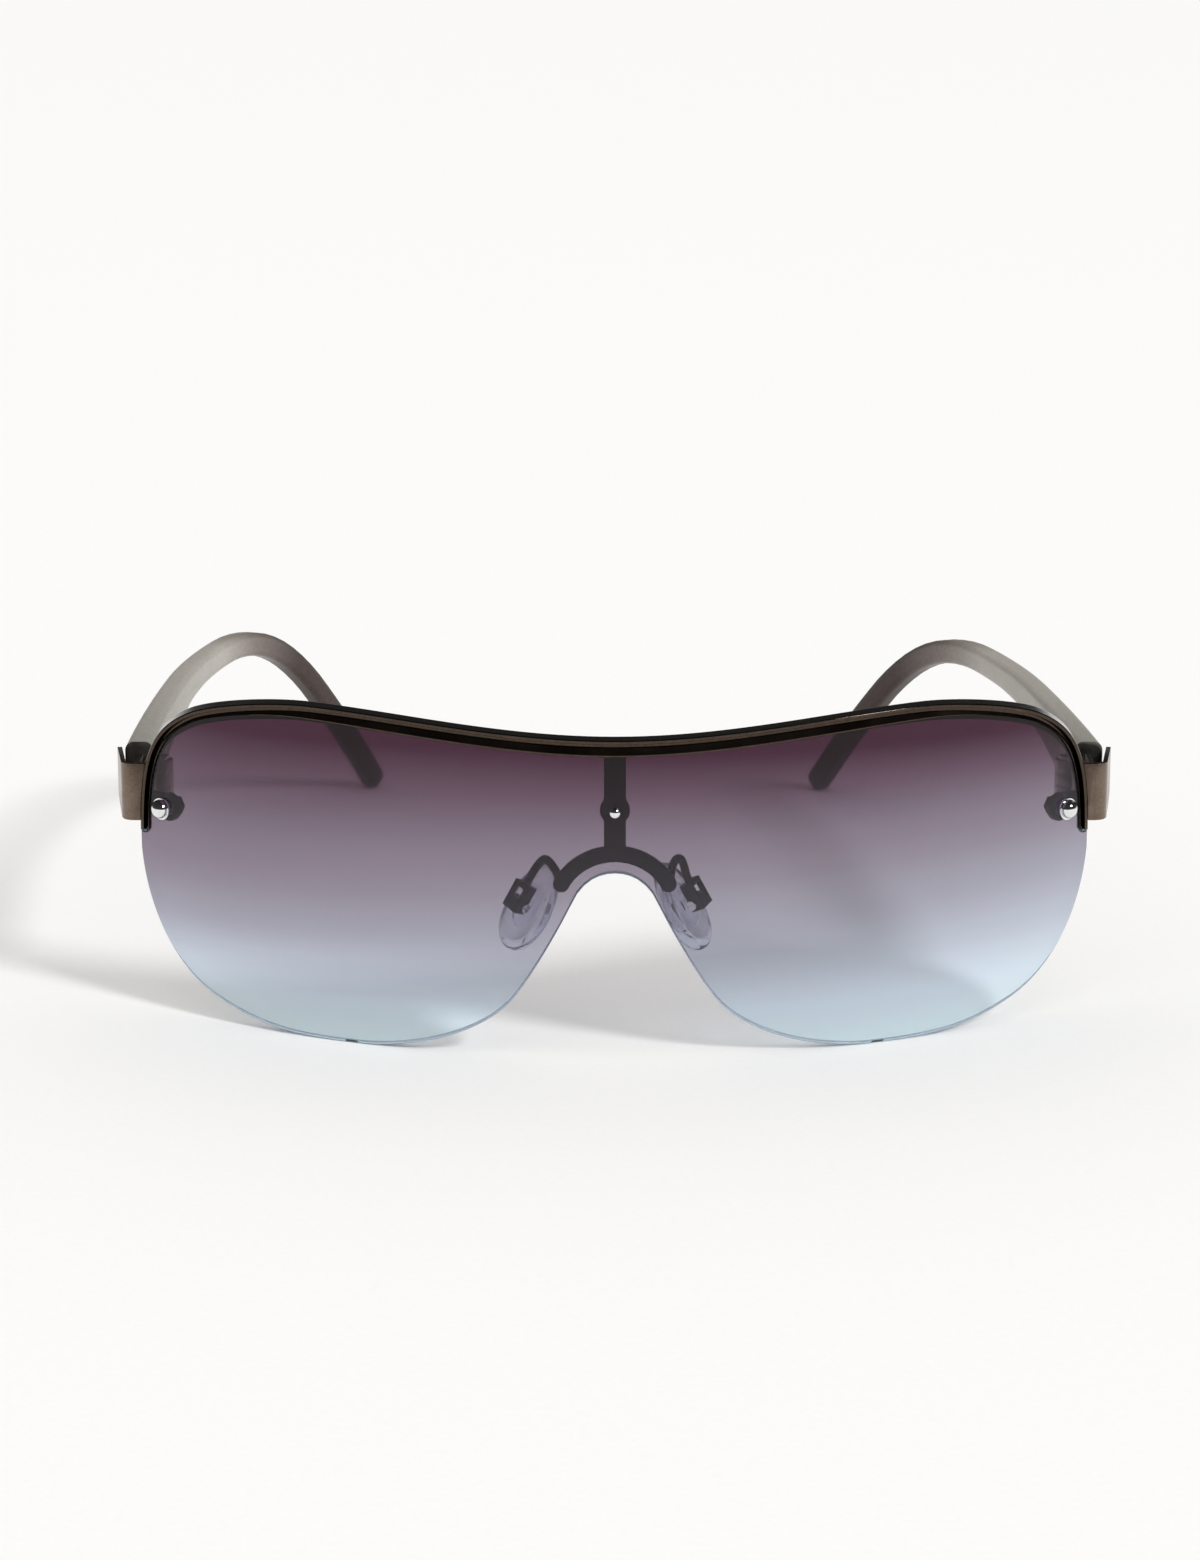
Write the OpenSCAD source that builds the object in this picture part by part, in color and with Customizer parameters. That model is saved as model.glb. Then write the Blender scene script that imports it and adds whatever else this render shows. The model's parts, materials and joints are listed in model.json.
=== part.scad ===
// Shield sunglasses: one curved lens under a metal brow bar, rocking nose pads and folding temples.
// The front looks along -Y, the temples run to +Y, and Z = 0 is the table under the lens and the tips.
// The origin lies on the table, midway between the front of the lens and the back of the temples.

/* [Lens] */
// Width of the front over the lens
lens_w = 138.6; // [128:0.2:150]
// Height of the front from its resting edge to the top of the brow bar
front_h = 49; // [45:0.2:55]
// Radius of the lens's outer face, bent about an upright axis
lens_r = 102; // [95:1:130]
// Thickness of the lens
lens_t = 1.8; // [1.4:0.1:2.4]

/* [Brow bar] */
// Height of the lip that caps the lens's top edge
lip_w = 1.1; // [0.8:0.1:1.8]
// How far the lip stands in front of the lens
lip_proud = 0.25; // [0.1:0.05:0.6]
// Thickness of the flange behind the lens
flange_t = 0.8; // [0.6:0.1:1.2]
// Height of the flange below the lip at the middle
flange_w = 1.7; // [1.2:0.1:2.2]
// Height of the flange below the lip at the corners
flange_corner_w = 1.7; // [1.2:0.1:2.6]
// Width of the flange inside the lip at the sides
flange_side_w = 0.9; // [0.7:0.1:1.4]
// Radius of the eye round each side stud
eye_r = 2.1; // [1.9:0.1:2.6]

/* [Studs] */
// Radius of a side stud's domed head
stud_head_r = 1.4; // [1.2:0.05:1.6]
// Radius of a side stud's shank
stud_r = 0.7; // [0.5:0.05:0.9]
// Thickness of the washer under the head
washer_t = 0.35; // [0.2:0.05:0.6]
// Radius of that washer
washer_r = 1.65; // [1.5:0.05:1.8]
// Wall of the plastic sleeve in the lens's hole
sleeve_wall = 0.4; // [0.3:0.05:0.6]
// Height of the nut behind the lens
nut_h = 1.1; // [0.9:0.1:1.6]
// Radius over the corners of the nut
nut_r = 1.5; // [1.3:0.05:1.8]
// Radius of the bridge rivet's domed head
rivet_head_r = 0.8; // [0.75:0.05:1.2]
// Radius of the bridge rivet's shank
rivet_r = 0.5; // [0.4:0.05:0.6]

/* [Bridge bracket] */
// Thickness of the bracket's sheet
bracket_t = 0.9; // [0.7:0.1:1.3]
// Width of the upright strap
strap_w = 3.05; // [2.4:0.05:4]
// Radius of the eye round the bridge rivet
bridge_eye_r = 2.1; // [1.8:0.05:2.6]
// Radius of the arch's middle line over the nose
arch_r = 8.6; // [7.8:0.1:9.4]
// Width of the arch's band
arch_w = 2.2; // [1.6:0.1:2.8]
// Angle from the top of the arch to each of its ends
arch_half_angle = 61; // [50:1:70]

/* [Nose pads] */
// Length of a pad
pad_l = 14; // [12:0.2:16]
// Width of a pad
pad_w = 7.6; // [7:0.2:8.6]
// Thickness of a pad
pad_t = 2.6; // [2.2:0.1:3]
// Distance between the middles of the two pads
pad_spread = 24; // [22.4:0.2:26]
// Depth of a pad's middle behind the lens's outer face
pad_depth = 9; // [8.4:0.2:11]
// Lean of a pad's top towards the other pad
pad_lean = 28; // [22:1:32]
// Turn of a pad's back towards the front
pad_splay = 46; // [38:1:50]
// How far the right pad is bent in from the left pad's place
right_pad_in = 2.4; // [0:0.2:3]
// How much less the right pad is turned to the front
right_pad_turn = 14; // [0:1:18]
// Diameter of the arm's wire
arm_d = 1.2; // [0.9:0.05:1.3]
// Length of the box that holds a pad
box_l = 4.2; // [3.8:0.1:5]
// Width of that box along its screw
box_w = 2.7; // [2.5:0.1:3.3]
// Depth of that box away from the pad
box_d = 2; // [1.9:0.1:2.6]
// Thickness of the box's sheet
box_wall = 0.55; // [0.4:0.05:0.65]
// Radius of the pad screw's shank
pad_screw_r = 0.4; // [0.35:0.05:0.45]

/* [End pieces] */
// Height of an end piece
end_h = 8.5; // [7.8:0.1:9.4]
// Width of an end piece across its front
end_w = 2.9; // [2.6:0.1:3.6]
// How far an end piece's outer wall flares out on its way back
end_flare = 1.4; // [0.6:0.1:1.8]
// Depth of an end piece's outer wall
end_depth = 10.6; // [10:0.1:11.4]
// Thickness of an end piece's sheet
end_t = 0.7; // [0.5:0.05:0.9]

/* [Hinges] */
// Height of a hinge over its three knuckles
hinge_h = 5.8; // [5:0.1:6.6]
// Radius of the knuckles
knuckle_r = 1.6; // [1.5:0.05:1.7]
// Radius of the hinge screw's shank
hinge_pin_r = 0.6; // [0.5:0.05:0.7]
// Distance from the lens's side edge in to the hinge screw
pin_inset = 2.9; // [2.7:0.05:3.1]
// Distance from the lens's side edge back to the hinge screw
pin_setback = 8.9; // [8.6:0.1:9.4]
// Length of the hinge plate on the temple, from the screw back
plate_l = 14; // [12:0.5:16]
// Thickness of that plate
plate_t = 0.9; // [0.7:0.05:1.1]
// Radius of the two rivets that hold that plate
plate_rivet_r = 0.6; // [0.4:0.05:0.8]

/* [Temples] */
// Height of a temple at the hinge
temple_h = 10; // [9:0.1:11]
// Thickness of a temple at the hinge
temple_t = 4.1; // [3.8:0.1:4.3]
// Fall of the tip over the ear, in degrees
ear_angle = 52; // [46:1:58]
// Turn of the temple towards the head at its tip
wrap_angle = 34; // [24:1:38]
// How far the left temple stands from its open stop
left_turn = 0; // [0:0.1:4]
// How far the right temple stands from its open stop
right_turn = 2.7; // [0:0.1:4]
// How far the left temple is bent up at its hinge, and the right one down, in degrees
temple_cant = 0.9; // [0:0.1:1.2]

/* [Hidden] */

gunmetal = [0.27, 0.24, 0.21];
bright_metal = [0.8, 0.8, 0.8];
dark_metal = [0.18, 0.17, 0.18];
lens_tint = [0.45, 0.42, 0.52, 0.55];
clear_pad = [0.86, 0.86, 0.92, 0.5];
temple_brown = [0.42, 0.37, 0.33];

$fn = 48;
lens_sides = 240;
LEFT = -1;
RIGHT = 1;
// Gap between pieces that are clamped, brazed or glued together
seat_gap = 0.05;
// Gap all round a shaft that turns, and between knuckles
run_gap = 0.04;
// Extra length of a tool that cuts right through
overrun = 1;

// Half of the front outline from the top of the bar down the side, under the lens and up the nose
// arch. Each row is a cubic curve's two handles and its end, as shares of the half width and height.
half_w = lens_w / 2;
bar_start_share = [0, 0.943];
bar_shares = [
    [[0.231, 0.943], [0.433, 0.998], [0.628, 1]],
    [[0.714, 1], [0.837, 0.966], [0.887, 0.9265]],
    [[0.969, 0.861], [0.998, 0.7735], [1, 0.541]]];
side_shares = [
    [[1, 0.316], [0.931, 0.1347], [0.8225, 0.0663]],
    [[0.736, 0.0122], [0.678, 0], [0.563, 0]]];
flat_end_share = [0.53, 0];
nose_shares = [
    [[0.455, 0], [0.31, 0.047], [0.238, 0.145]],
    [[0.195, 0.204], [0.11, 0.4265], [0.0924, 0.4695]],
    [[0.072, 0.52], [0.0375, 0.552], [0, 0.552]]];
curve_steps = 8;

function curve(p, q, r, s, t) =
    pow(1 - t, 3) * p + 3 * pow(1 - t, 2) * t * q + 3 * (1 - t) * t * t * r + t * t * t * s;
function scaled(share) = [share[0] * half_w, share[1] * front_h];
function trace(start, rows) = [
    for (i = [0 : len(rows) - 1])
        for (k = [1 : curve_steps])
            curve(scaled(i == 0 ? start : rows[i - 1][2]), scaled(rows[i][0]),
                scaled(rows[i][1]), scaled(rows[i][2]), k / curve_steps)];
function flip(points) = [for (i = [len(points) - 1 : -1 : 0]) points[i]];

// The bar's outer edge, and lines drawn inside it at a depth for each point
bar_edge = concat([scaled(bar_start_share)], trace(bar_start_share, bar_shares));
bar_last = len(bar_edge) - 1;
bar_end_z = bar_edge[bar_last][1];
function edge_run(i) =
    let (ahead = bar_edge[min(i + 1, bar_last)],
        behind = i > 0 ? bar_edge[i - 1] : [-bar_edge[1][0], bar_edge[1][1]],
        run = ahead - behind)
    run / norm(run);
function inward(i) = [edge_run(i)[1], -edge_run(i)[0]];
function inset_edge(depths) = [for (i = [0 : bar_last]) bar_edge[i] + depths[i] * inward(i)];
flange_widths = [[0, flange_w], [1 / 3, (flange_w + flange_corner_w) / 2],
    [2 / 3, flange_corner_w], [1, flange_side_w]];
flange_depths = [for (i = [0 : bar_last]) lip_w + lookup(i / bar_last, flange_widths)];
lip_edge = inset_edge([for (i = [0 : bar_last]) lip_w]);
flange_edge = inset_edge(flange_depths);

// Closes a band between two half outlines on both sides of the middle
function band(outer, inner) = concat(outer, flip(inner),
    [for (i = [1 : len(inner) - 1]) [-inner[i][0], inner[i][1]]],
    [for (i = [len(outer) - 1 : -1 : 1]) [-outer[i][0], outer[i][1]]]);

// The lens runs under the lip, widens in a notch below the lip's end and reaches the full width
lens_half = concat(
    inset_edge([for (i = [0 : bar_last]) lip_w + seat_gap]),
    [[half_w - lip_w - seat_gap, bar_end_z - seat_gap], [half_w, bar_end_z - seat_gap]],
    trace(bar_shares[2][2], side_shares),
    [scaled(flat_end_share)],
    trace(flat_end_share, nose_shares));

// How far the lens's outer face falls back at a distance from the middle
function sag(x) = lens_r - sqrt(lens_r * lens_r - x * x);
side_sag = sag(half_w);
layer_r = lens_r - lens_t - seat_gap;

// Places on the lens, as shares of its sizes
stud_share = [0.9495, 0.619];
bridge_eye_share = 0.731;
arch_top_share = 0.601;
arch_end_share = 0.52;
stud_x = half_w * stud_share[0];
stud_z = front_h * stud_share[1];
stud_angle = asin(stud_x / lens_r);
bridge_eye_z = front_h * bridge_eye_share;
arch_top_z = front_h * arch_top_share;
arch_centre_z = arch_top_z - arch_r;
arch_end = [arch_r * sin(arch_half_angle), arch_centre_z + arch_r * cos(arch_half_angle)];
notch_z = front_h * bar_start_share[1] - lip_w;
// From a stud's middle along the lens to the middle of the lip
eye_reach = (half_w - lip_w / 2 - stud_x) / cos(stud_angle);

// Places of the side hardware
end_height_share = 0.6545;
end_z = front_h * end_height_share;
pin_x = half_w - pin_inset;
pin_y = side_sag + pin_setback;
knuckle_h = hinge_h / 3;
temple_in = knuckle_r * 1.22;
temple_front = knuckle_r * 0.625;
plate_x = temple_in - plate_t * 0.7;
plate_out = plate_x + plate_t;
// Gap between a temple's front face and its open stop
stop_gap = 0.1;

// The temple's middle line along its top face. Its length is what brings the tip down to the table.
corner_share = 0.3;
tip_share = 0.45;
wrap_shares = [[0, 0.015], [0.314, 0.103], [0.5, 0.353], [0.643, 0.618], [0.771, 0.824], [1, 1]];
drop_shares = [[0, 0.007], [0.53, 0.02], [0.63, 0.23], [0.73, 0.6], [0.81, 0.83], [1, 1]];
height_shares = [
    [0, 1], [0.107, 0.9], [0.214, 0.66], [0.321, 0.5], [0.429, 0.43], [0.607, 0.39], [1, 0.38]];
thickness_shares = [[0, 1], [0.214, 0.976], [0.429, 0.927], [0.643, 0.878], [1, 0.829]];
temple_steps = 40;
function sum(values, i = 0) = i == len(values) ? 0 : values[i] + sum(values, i + 1);
function yaw(share) = wrap_angle * lookup(share, wrap_shares);
function drop(hand, share) = ear_angle * lookup(share, drop_shares) + hand * temple_cant * (1 - 2 * share);
function heading(hand, share) =
    let (turn = yaw(share), fall = drop(hand, share))
    [-sin(turn) * cos(fall), cos(turn) * cos(fall), -sin(fall)];
function outward(share) = [cos(yaw(share)), sin(yaw(share)), 0];
function upward(hand, share) = cross(outward(share), heading(hand, share));
tip_h = temple_h * lookup(1, height_shares);
tip_round = temple_t * tip_share;
function tip_depth(hand) =
    let (level = tip_h / 2 * cos(drop(hand, 1)))
    level + norm([tip_round * sin(drop(hand, 1)), level]);
temple_top_z = end_z + temple_h / 2;
function fall_per_length(hand) =
    sum([for (i = [0 : temple_steps - 1]) sin(drop(hand, (i + 0.5) / temple_steps))]) / temple_steps;
function temple_l(hand) = (temple_top_z - tip_depth(hand)) / fall_per_length(hand);
function walk(hand, step, p, i) = i > temple_steps ? []
    : concat([p], walk(hand, step, p + step * heading(hand, (i + 0.5) / temple_steps), i + 1));
temple_start = [pin_x + temple_in + temple_t / 2, pin_y + temple_front, temple_top_z];

// Sixteen points of a rounded box section that hangs below its top face
corner_steps = 3;
corners = [[-1, -1, 180], [1, -1, 270], [1, 1, 0], [-1, 1, 90]];
function section(w, h, r) = [
    for (corner = corners)
        for (k = [0 : corner_steps])
            let (angle = corner[2] + 90 * k / corner_steps)
            [corner[0] * (w / 2 - r) + r * cos(angle), corner[1] * (h / 2 - r) + r * sin(angle)]];
function temple_ring(hand, at, share, shrink) =
    let (h = temple_h * lookup(share, height_shares),
        w = temple_t * lookup(share, thickness_shares))
    [for (p = section(w, h, w * corner_share))
        at + outward(share) * p[0] * shrink + upward(hand, share) * (p[1] * shrink - h / 2)];
tip_angles = [20, 45, 68, 85];
function temple_rings(hand) =
    let (line = walk(hand, temple_l(hand) / temple_steps, temple_start, 0))
    concat(
        [for (i = [0 : temple_steps]) temple_ring(hand, line[i], i / temple_steps, 1)],
        [for (a = tip_angles) temple_ring(
            hand, line[temple_steps] + tip_round * sin(a) * heading(hand, 1), 1, cos(a))]);

// How far a temple's front face leans forward at the foot of its hinge
function lean(hand) = (temple_h + hinge_h) / 2 * sin(max(drop(hand, 0), 0));

// Depth of the whole, which sets the origin
rear_y = max([for (hand = [LEFT, RIGHT]) for (ring = temple_rings(hand)) for (p = ring) p[1]]);
rivet_head_h = rivet_head_r * 0.75;
mid_depth = (rear_y - rivet_head_h) / 2;

// Nose pad frame: x runs out of the pad's back, y along its screw, z along the pad
pad_height_share = 0.408;
function pad_place(hand) =
    [pad_spread / 2 - (hand == RIGHT ? right_pad_in : 0), pad_depth, front_h * pad_height_share];
function splay(hand) = pad_splay - (hand == RIGHT ? right_pad_turn : 0);
function pad_out(hand) =
    [cos(splay(hand)) * cos(pad_lean), -sin(splay(hand)), cos(splay(hand)) * sin(pad_lean)];
pad_up = [-sin(pad_lean), 0, cos(pad_lean)];
pad_clear = 0.9;
box_in = pad_t / 2 + pad_clear;
box_mid = box_in + box_d / 2;
screw_in = box_in + (box_d - box_wall) * 0.45;
box_mid_z = pad_l * 0.08;
screw_z = box_mid_z - box_l * 0.23;
tab_r = pad_screw_r * 1.75;
tab_w = box_w - 2 * box_wall - 2 * run_gap;
insert_t = 0.7;
insert_l = pad_l * 0.5;

// The pad arm's wire runs back from the bracket, rises over a crest and drops to the box
arm_start = [arch_end[0] + arm_d * 0.25, sag(arch_end[0] + arm_d) + lens_t + bracket_t + 2 * seat_gap,
    arch_end[1] + arm_d * 0.45];
arm_crest_rise = 2.2;
arm_steps = 9;
wire_sides = 10;
function arm_line(hand) =
    let (finish = pad_place(hand) + pad_out(hand) * box_mid + pad_up * (box_mid_z + box_l / 2 + seat_gap),
        span = finish - arm_start,
        crest = arm_start + [span[0] * 0.42, span[1] * 0.72, arm_crest_rise],
        handle = span[1] * 0.35)
    concat(
        [for (k = [0 : arm_steps]) curve(arm_start, arm_start + [0, handle * 1.2, 0],
            crest - [handle * 0.6, handle / 2, 0], crest, k / arm_steps)],
        [for (k = [1 : arm_steps]) curve(crest, crest + [handle * 0.6, handle / 2, 0],
            finish + pad_up * handle, finish, k / arm_steps)]);

// Mirrors a right-hand piece for the left side
module on_side(hand) {
    if (hand == LEFT) mirror([1, 0, 0]) children();
    else children();
}

// Brings the whole model over its origin
module centred() {
    translate([0, -mid_depth, 0]) children();
}

// Stands a flat shape up in the front view and runs it right through the lens's depth
module through_front() {
    translate([0, side_sag + pin_setback, 0])
        rotate([90, 0, 0])
            linear_extrude(height = side_sag + pin_setback + overrun * 3) children();
}

// A layer of the curved front between two radii about the lens's axis
module bent_layer(outer_r, inner_r) {
    translate([0, lens_r, -overrun])
        difference() {
            cylinder(r = outer_r, h = front_h + 2 * overrun, $fn = lens_sides);
            translate([0, 0, -overrun]) cylinder(r = inner_r, h = front_h + 4 * overrun, $fn = lens_sides);
        }
}

// Puts a piece on the lens's outer face, its -Y along the outward normal
module on_lens(angle, z) {
    translate([0, lens_r, 0])
        rotate([0, 0, angle])
            translate([0, -lens_r, z]) children();
}

// A rod along the lens's normal, from a depth in front of the face to a depth behind it
module normal_rod(r, front, back) {
    translate([0, back, 0])
        rotate([90, 0, 0]) cylinder(r = r, h = front + back);
}

// A domed head that rises towards -Y from the face it sits on
module dome(r, h) {
    rise = (r * r - h * h) / (2 * h);
    ball_r = h + rise;
    intersection() {
        translate([0, rise, 0]) sphere(r = ball_r);
        rotate([90, 0, 0]) cylinder(r = r, h = h + overrun);
    }
}

// The tinted lens with its three drilled holes
module lens() {
    color(lens_tint) centred() difference() {
        intersection() {
            bent_layer(lens_r, lens_r - lens_t);
            through_front() polygon(concat(lens_half,
                [for (i = [len(lens_half) - 2 : -1 : 1]) [-lens_half[i][0], lens_half[i][1]]]));
        }
        for (hand = [LEFT, RIGHT])
            on_lens(hand * stud_angle, stud_z)
                normal_rod(stud_r + sleeve_wall + 2 * seat_gap, overrun, lens_t + overrun);
        on_lens(0, bridge_eye_z) normal_rod(rivet_r + seat_gap, overrun, lens_t + overrun);
    }
}

// The lip over the lens's top edge, the flange behind it and the eyes for the side studs
module brow_bar() {
    foot_r = flange_depths[bar_last] * 0.46;
    foot_centre = [half_w - foot_r, bar_end_z];
    color(gunmetal) centred() difference() {
        union() {
            intersection() {
                bent_layer(lens_r + lip_proud, layer_r - flange_t / 2);
                through_front() polygon(band(bar_edge, lip_edge));
            }
            intersection() {
                bent_layer(layer_r, layer_r - flange_t);
                union() {
                    through_front() polygon(band(bar_edge, flange_edge));
                    for (hand = [LEFT, RIGHT]) {
                        on_side(hand) through_front() polygon(concat([foot_centre + [0, foot_r]],
                            [for (a = [0 : -15 : -180]) foot_centre + foot_r * [cos(a), sin(a)]]));
                        on_lens(hand * stud_angle, stud_z) {
                            normal_rod(eye_r, 0, 3 * lens_t);
                            translate([hand < 0 ? -eye_reach : 0, 0, -eye_r / 2])
                                cube([eye_reach, 3 * lens_t, 1.4 * eye_r]);
                        }
                    }
                }
            }
        }
        for (hand = [LEFT, RIGHT])
            on_lens(hand * stud_angle, stud_z)
                normal_rod(stud_r + seat_gap, overrun, lens_t + flange_t + 2 * overrun);
        translate([-strap_w / 2 - seat_gap, lens_t, notch_z - flange_w - overrun])
            cube([strap_w + 2 * seat_gap, lens_t + flange_t, overrun + flange_w]);
    }
}

// The strap, eye and nose arch that carry the pad arms behind the lens
module bridge_bracket() {
    strap_h = notch_z - seat_gap - arch_top_z;
    reach = 2 * arch_r * [sin(arch_half_angle), cos(arch_half_angle)];
    color(dark_metal) centred() difference() {
        intersection() {
            bent_layer(layer_r, layer_r - bracket_t);
            through_front() union() {
                translate([-strap_w / 2, arch_top_z]) square([strap_w, strap_h]);
                translate([0, bridge_eye_z]) circle(r = bridge_eye_r);
                for (hand = [LEFT, RIGHT])
                    translate([hand * arch_end[0], arch_end[1]]) circle(r = arch_w * arch_end_share);
                translate([0, arch_centre_z]) intersection() {
                    difference() {
                        circle(r = arch_r + arch_w / 2);
                        circle(r = arch_r - arch_w / 2);
                    }
                    polygon([[0, 0], reach, [reach[0], 2 * arch_r],
                        [-reach[0], 2 * arch_r], [-reach[0], reach[1]]]);
                }
            }
        }
        on_lens(0, bridge_eye_z) normal_rod(rivet_r + seat_gap, overrun, lens_t + bracket_t + 2 * overrun);
    }
}

// The rivet through the lens and the bracket's eye
module bridge_rivet() {
    color(bright_metal) centred() on_lens(0, bridge_eye_z) union() {
        translate([0, -seat_gap, 0]) dome(rivet_head_r, rivet_head_h - seat_gap);
        normal_rod(rivet_r, seat_gap, lens_t + bracket_t + washer_t + 4 * seat_gap);
    }
}

// The washer that the rivet is spread over behind the bracket
module bridge_washer() {
    color(dark_metal) centred() on_lens(0, bridge_eye_z) difference() {
        translate([0, lens_t + bracket_t + 3 * seat_gap, 0])
            normal_rod(rivet_head_r * 1.1, 0, washer_t);
        normal_rod(rivet_r + seat_gap, overrun, lens_t + bracket_t + 2 * overrun);
    }
}

// The domed screw through washer, sleeve, lens, flange and nut
module side_stud(hand) {
    color(bright_metal) centred() on_lens(hand * stud_angle, stud_z)
        union() {
            translate([0, -washer_t - 2 * seat_gap, 0]) dome(stud_head_r, stud_head_r * 0.85);
            normal_rod(stud_r, washer_t + 2 * seat_gap, lens_t + flange_t + nut_h + 4 * seat_gap);
        }
}

// The bright washer between stud head and lens
module stud_washer(hand) {
    color(bright_metal) centred() on_lens(hand * stud_angle, stud_z) difference() {
        translate([0, -seat_gap, 0]) normal_rod(washer_r, washer_t, 0);
        normal_rod(stud_r + seat_gap, 2 * overrun, overrun);
    }
}

// The clear sleeve that keeps the screw off the lens
module lens_sleeve(hand) {
    color(clear_pad) centred() on_lens(hand * stud_angle, stud_z) difference() {
        normal_rod(stud_r + sleeve_wall + seat_gap, 0, lens_t);
        normal_rod(stud_r + seat_gap, overrun, lens_t + overrun);
    }
}

// The six-sided nut behind the flange
module stud_nut(hand) {
    color(dark_metal) centred() on_lens(hand * stud_angle, stud_z) difference() {
        translate([0, lens_t + flange_t + 3 * seat_gap + nut_h, 0])
            rotate([90, 0, 0]) cylinder(r = nut_r, h = nut_h, $fn = 6);
        normal_rod(stud_r + seat_gap, 0, lens_t + flange_t + nut_h + overrun);
    }
}

// Plan of the end piece's sheet: out across the front from the bar's side, round and back. A second
// wall runs back along the hinge's leg.
bend_r = end_w * 0.6;
bend_finish = end_w - end_t / 2 - bend_r;
end_front = bend_r + end_t / 2;
end_reach = end_w * 0.6;
end_line = concat(
    [[-end_reach, -bend_r]],
    [for (a = [270 : 15 : 345]) [bend_finish, 0] + bend_r * [cos(a), sin(a)]],
    [[end_w - end_t / 2, 0], [end_w - end_t / 2 + end_flare, end_depth - end_front]]);
function line_run(points, i) =
    let (last = len(points) - 1, run = points[min(i + 1, last)] - points[max(i - 1, 0)]) run / norm(run);
function beside(points, shift) = [for (i = [0 : len(points) - 1])
    points[i] + shift * [-line_run(points, i)[1], line_run(points, i)[0]]];
module end_piece(hand) {
    round_r = end_h * 0.24;
    wall_end = end_depth * 0.6 - end_front;
    face_back = end_t - end_front;
    inner_wall = [
        [-end_reach, face_back], [seat_gap, face_back], [seat_gap, wall_end],
        [seat_gap + end_t, wall_end], [seat_gap + end_t, face_back]];
    inner_line = beside(end_line, end_t / 2);
    inner_bend = [for (i = [1 : len(inner_line) - 1]) inner_line[i]];
    color(gunmetal) centred() on_side(hand) difference() {
        translate([half_w, side_sag - lip_proud + end_front, end_z - end_h / 2])
            intersection() {
                linear_extrude(height = end_h)
                    polygon(concat(inner_wall, inner_bend, flip(beside(end_line, -end_t / 2))));
                translate([0, 2 * end_depth, 0]) rotate([90, 0, 0]) linear_extrude(height = 3 * end_depth)
                    polygon(concat(
                        [[-end_reach - overrun, 0]],
                        [for (a = [-90 : 15 : 0]) [end_w + end_flare - round_r, round_r]
                            + round_r * [cos(a), sin(a)]],
                        [[end_w + end_flare, end_h], [-end_reach - overrun, end_h]]));
            }
        through_front() polygon(concat(
            inset_edge([for (i = [0 : bar_last]) -seat_gap]), [[half_w + seat_gap, 0], [0, 0]]));
    }
}

// The two outer knuckles, the leg brazed between flange and end piece, and the temple's open stop
module front_hinge(hand) {
    leg_w = pin_inset - seat_gap - hinge_pin_r;
    stop_x = plate_out + 2 * seat_gap;
    stop_y = temple_front - lean(hand) - stop_gap;
    color(dark_metal) centred() on_side(hand) translate([pin_x, pin_y, end_z]) difference() {
        union() {
            for (end = [-1, 1]) translate([0, 0, end * knuckle_h - knuckle_h / 2 + run_gap / 2]) {
                cylinder(r = knuckle_r, h = knuckle_h - run_gap);
                translate([hinge_pin_r, -2 * knuckle_r, 0])
                    cube([knuckle_r - hinge_pin_r, 2 * knuckle_r, knuckle_h - run_gap]);
            }
            intersection() {
                translate([hinge_pin_r, -pin_setback, -hinge_h / 2])
                    cube([leg_w, pin_setback - 1.65 * knuckle_r, hinge_h]);
                translate([-pin_x, lens_r - pin_y, -hinge_h])
                    cylinder(r = layer_r - flange_t - seat_gap, h = 2 * hinge_h, $fn = lens_sides);
            }
            translate([stop_x, -2 * knuckle_r, -hinge_h / 2])
                cube([pin_inset - seat_gap - stop_x, 2 * knuckle_r + stop_y, hinge_h]);
        }
        translate([0, 0, -hinge_h]) cylinder(r = hinge_pin_r + run_gap, h = 2 * hinge_h);
    }
}

// The slotted screw that the temple turns on
module hinge_screw(hand) {
    head_h = hinge_pin_r * 0.8;
    color(bright_metal) centred() on_side(hand) translate([pin_x, pin_y, end_z]) difference() {
        union() {
            translate([0, 0, -hinge_h / 2]) cylinder(r = hinge_pin_r, h = hinge_h + head_h);
            translate([0, 0, hinge_h / 2 + seat_gap]) cylinder(r = hinge_pin_r * 1.7, h = head_h);
        }
        translate([-knuckle_r, -hinge_pin_r / 4, hinge_h / 2 + seat_gap + head_h / 2])
            cube([2 * knuckle_r, hinge_pin_r / 2, head_h]);
    }
}

// Turns a temple's pieces to where they stand at rest
module at_temple(hand) {
    centred() on_side(hand) translate([pin_x, pin_y, 0])
        rotate([0, 0, hand == LEFT ? left_turn : right_turn]) children();
}

plate_front = knuckle_r + 4 * run_gap;
rivet_shares = [0.42, 0.78];
rivet_l = plate_t + temple_t / 2;

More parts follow.
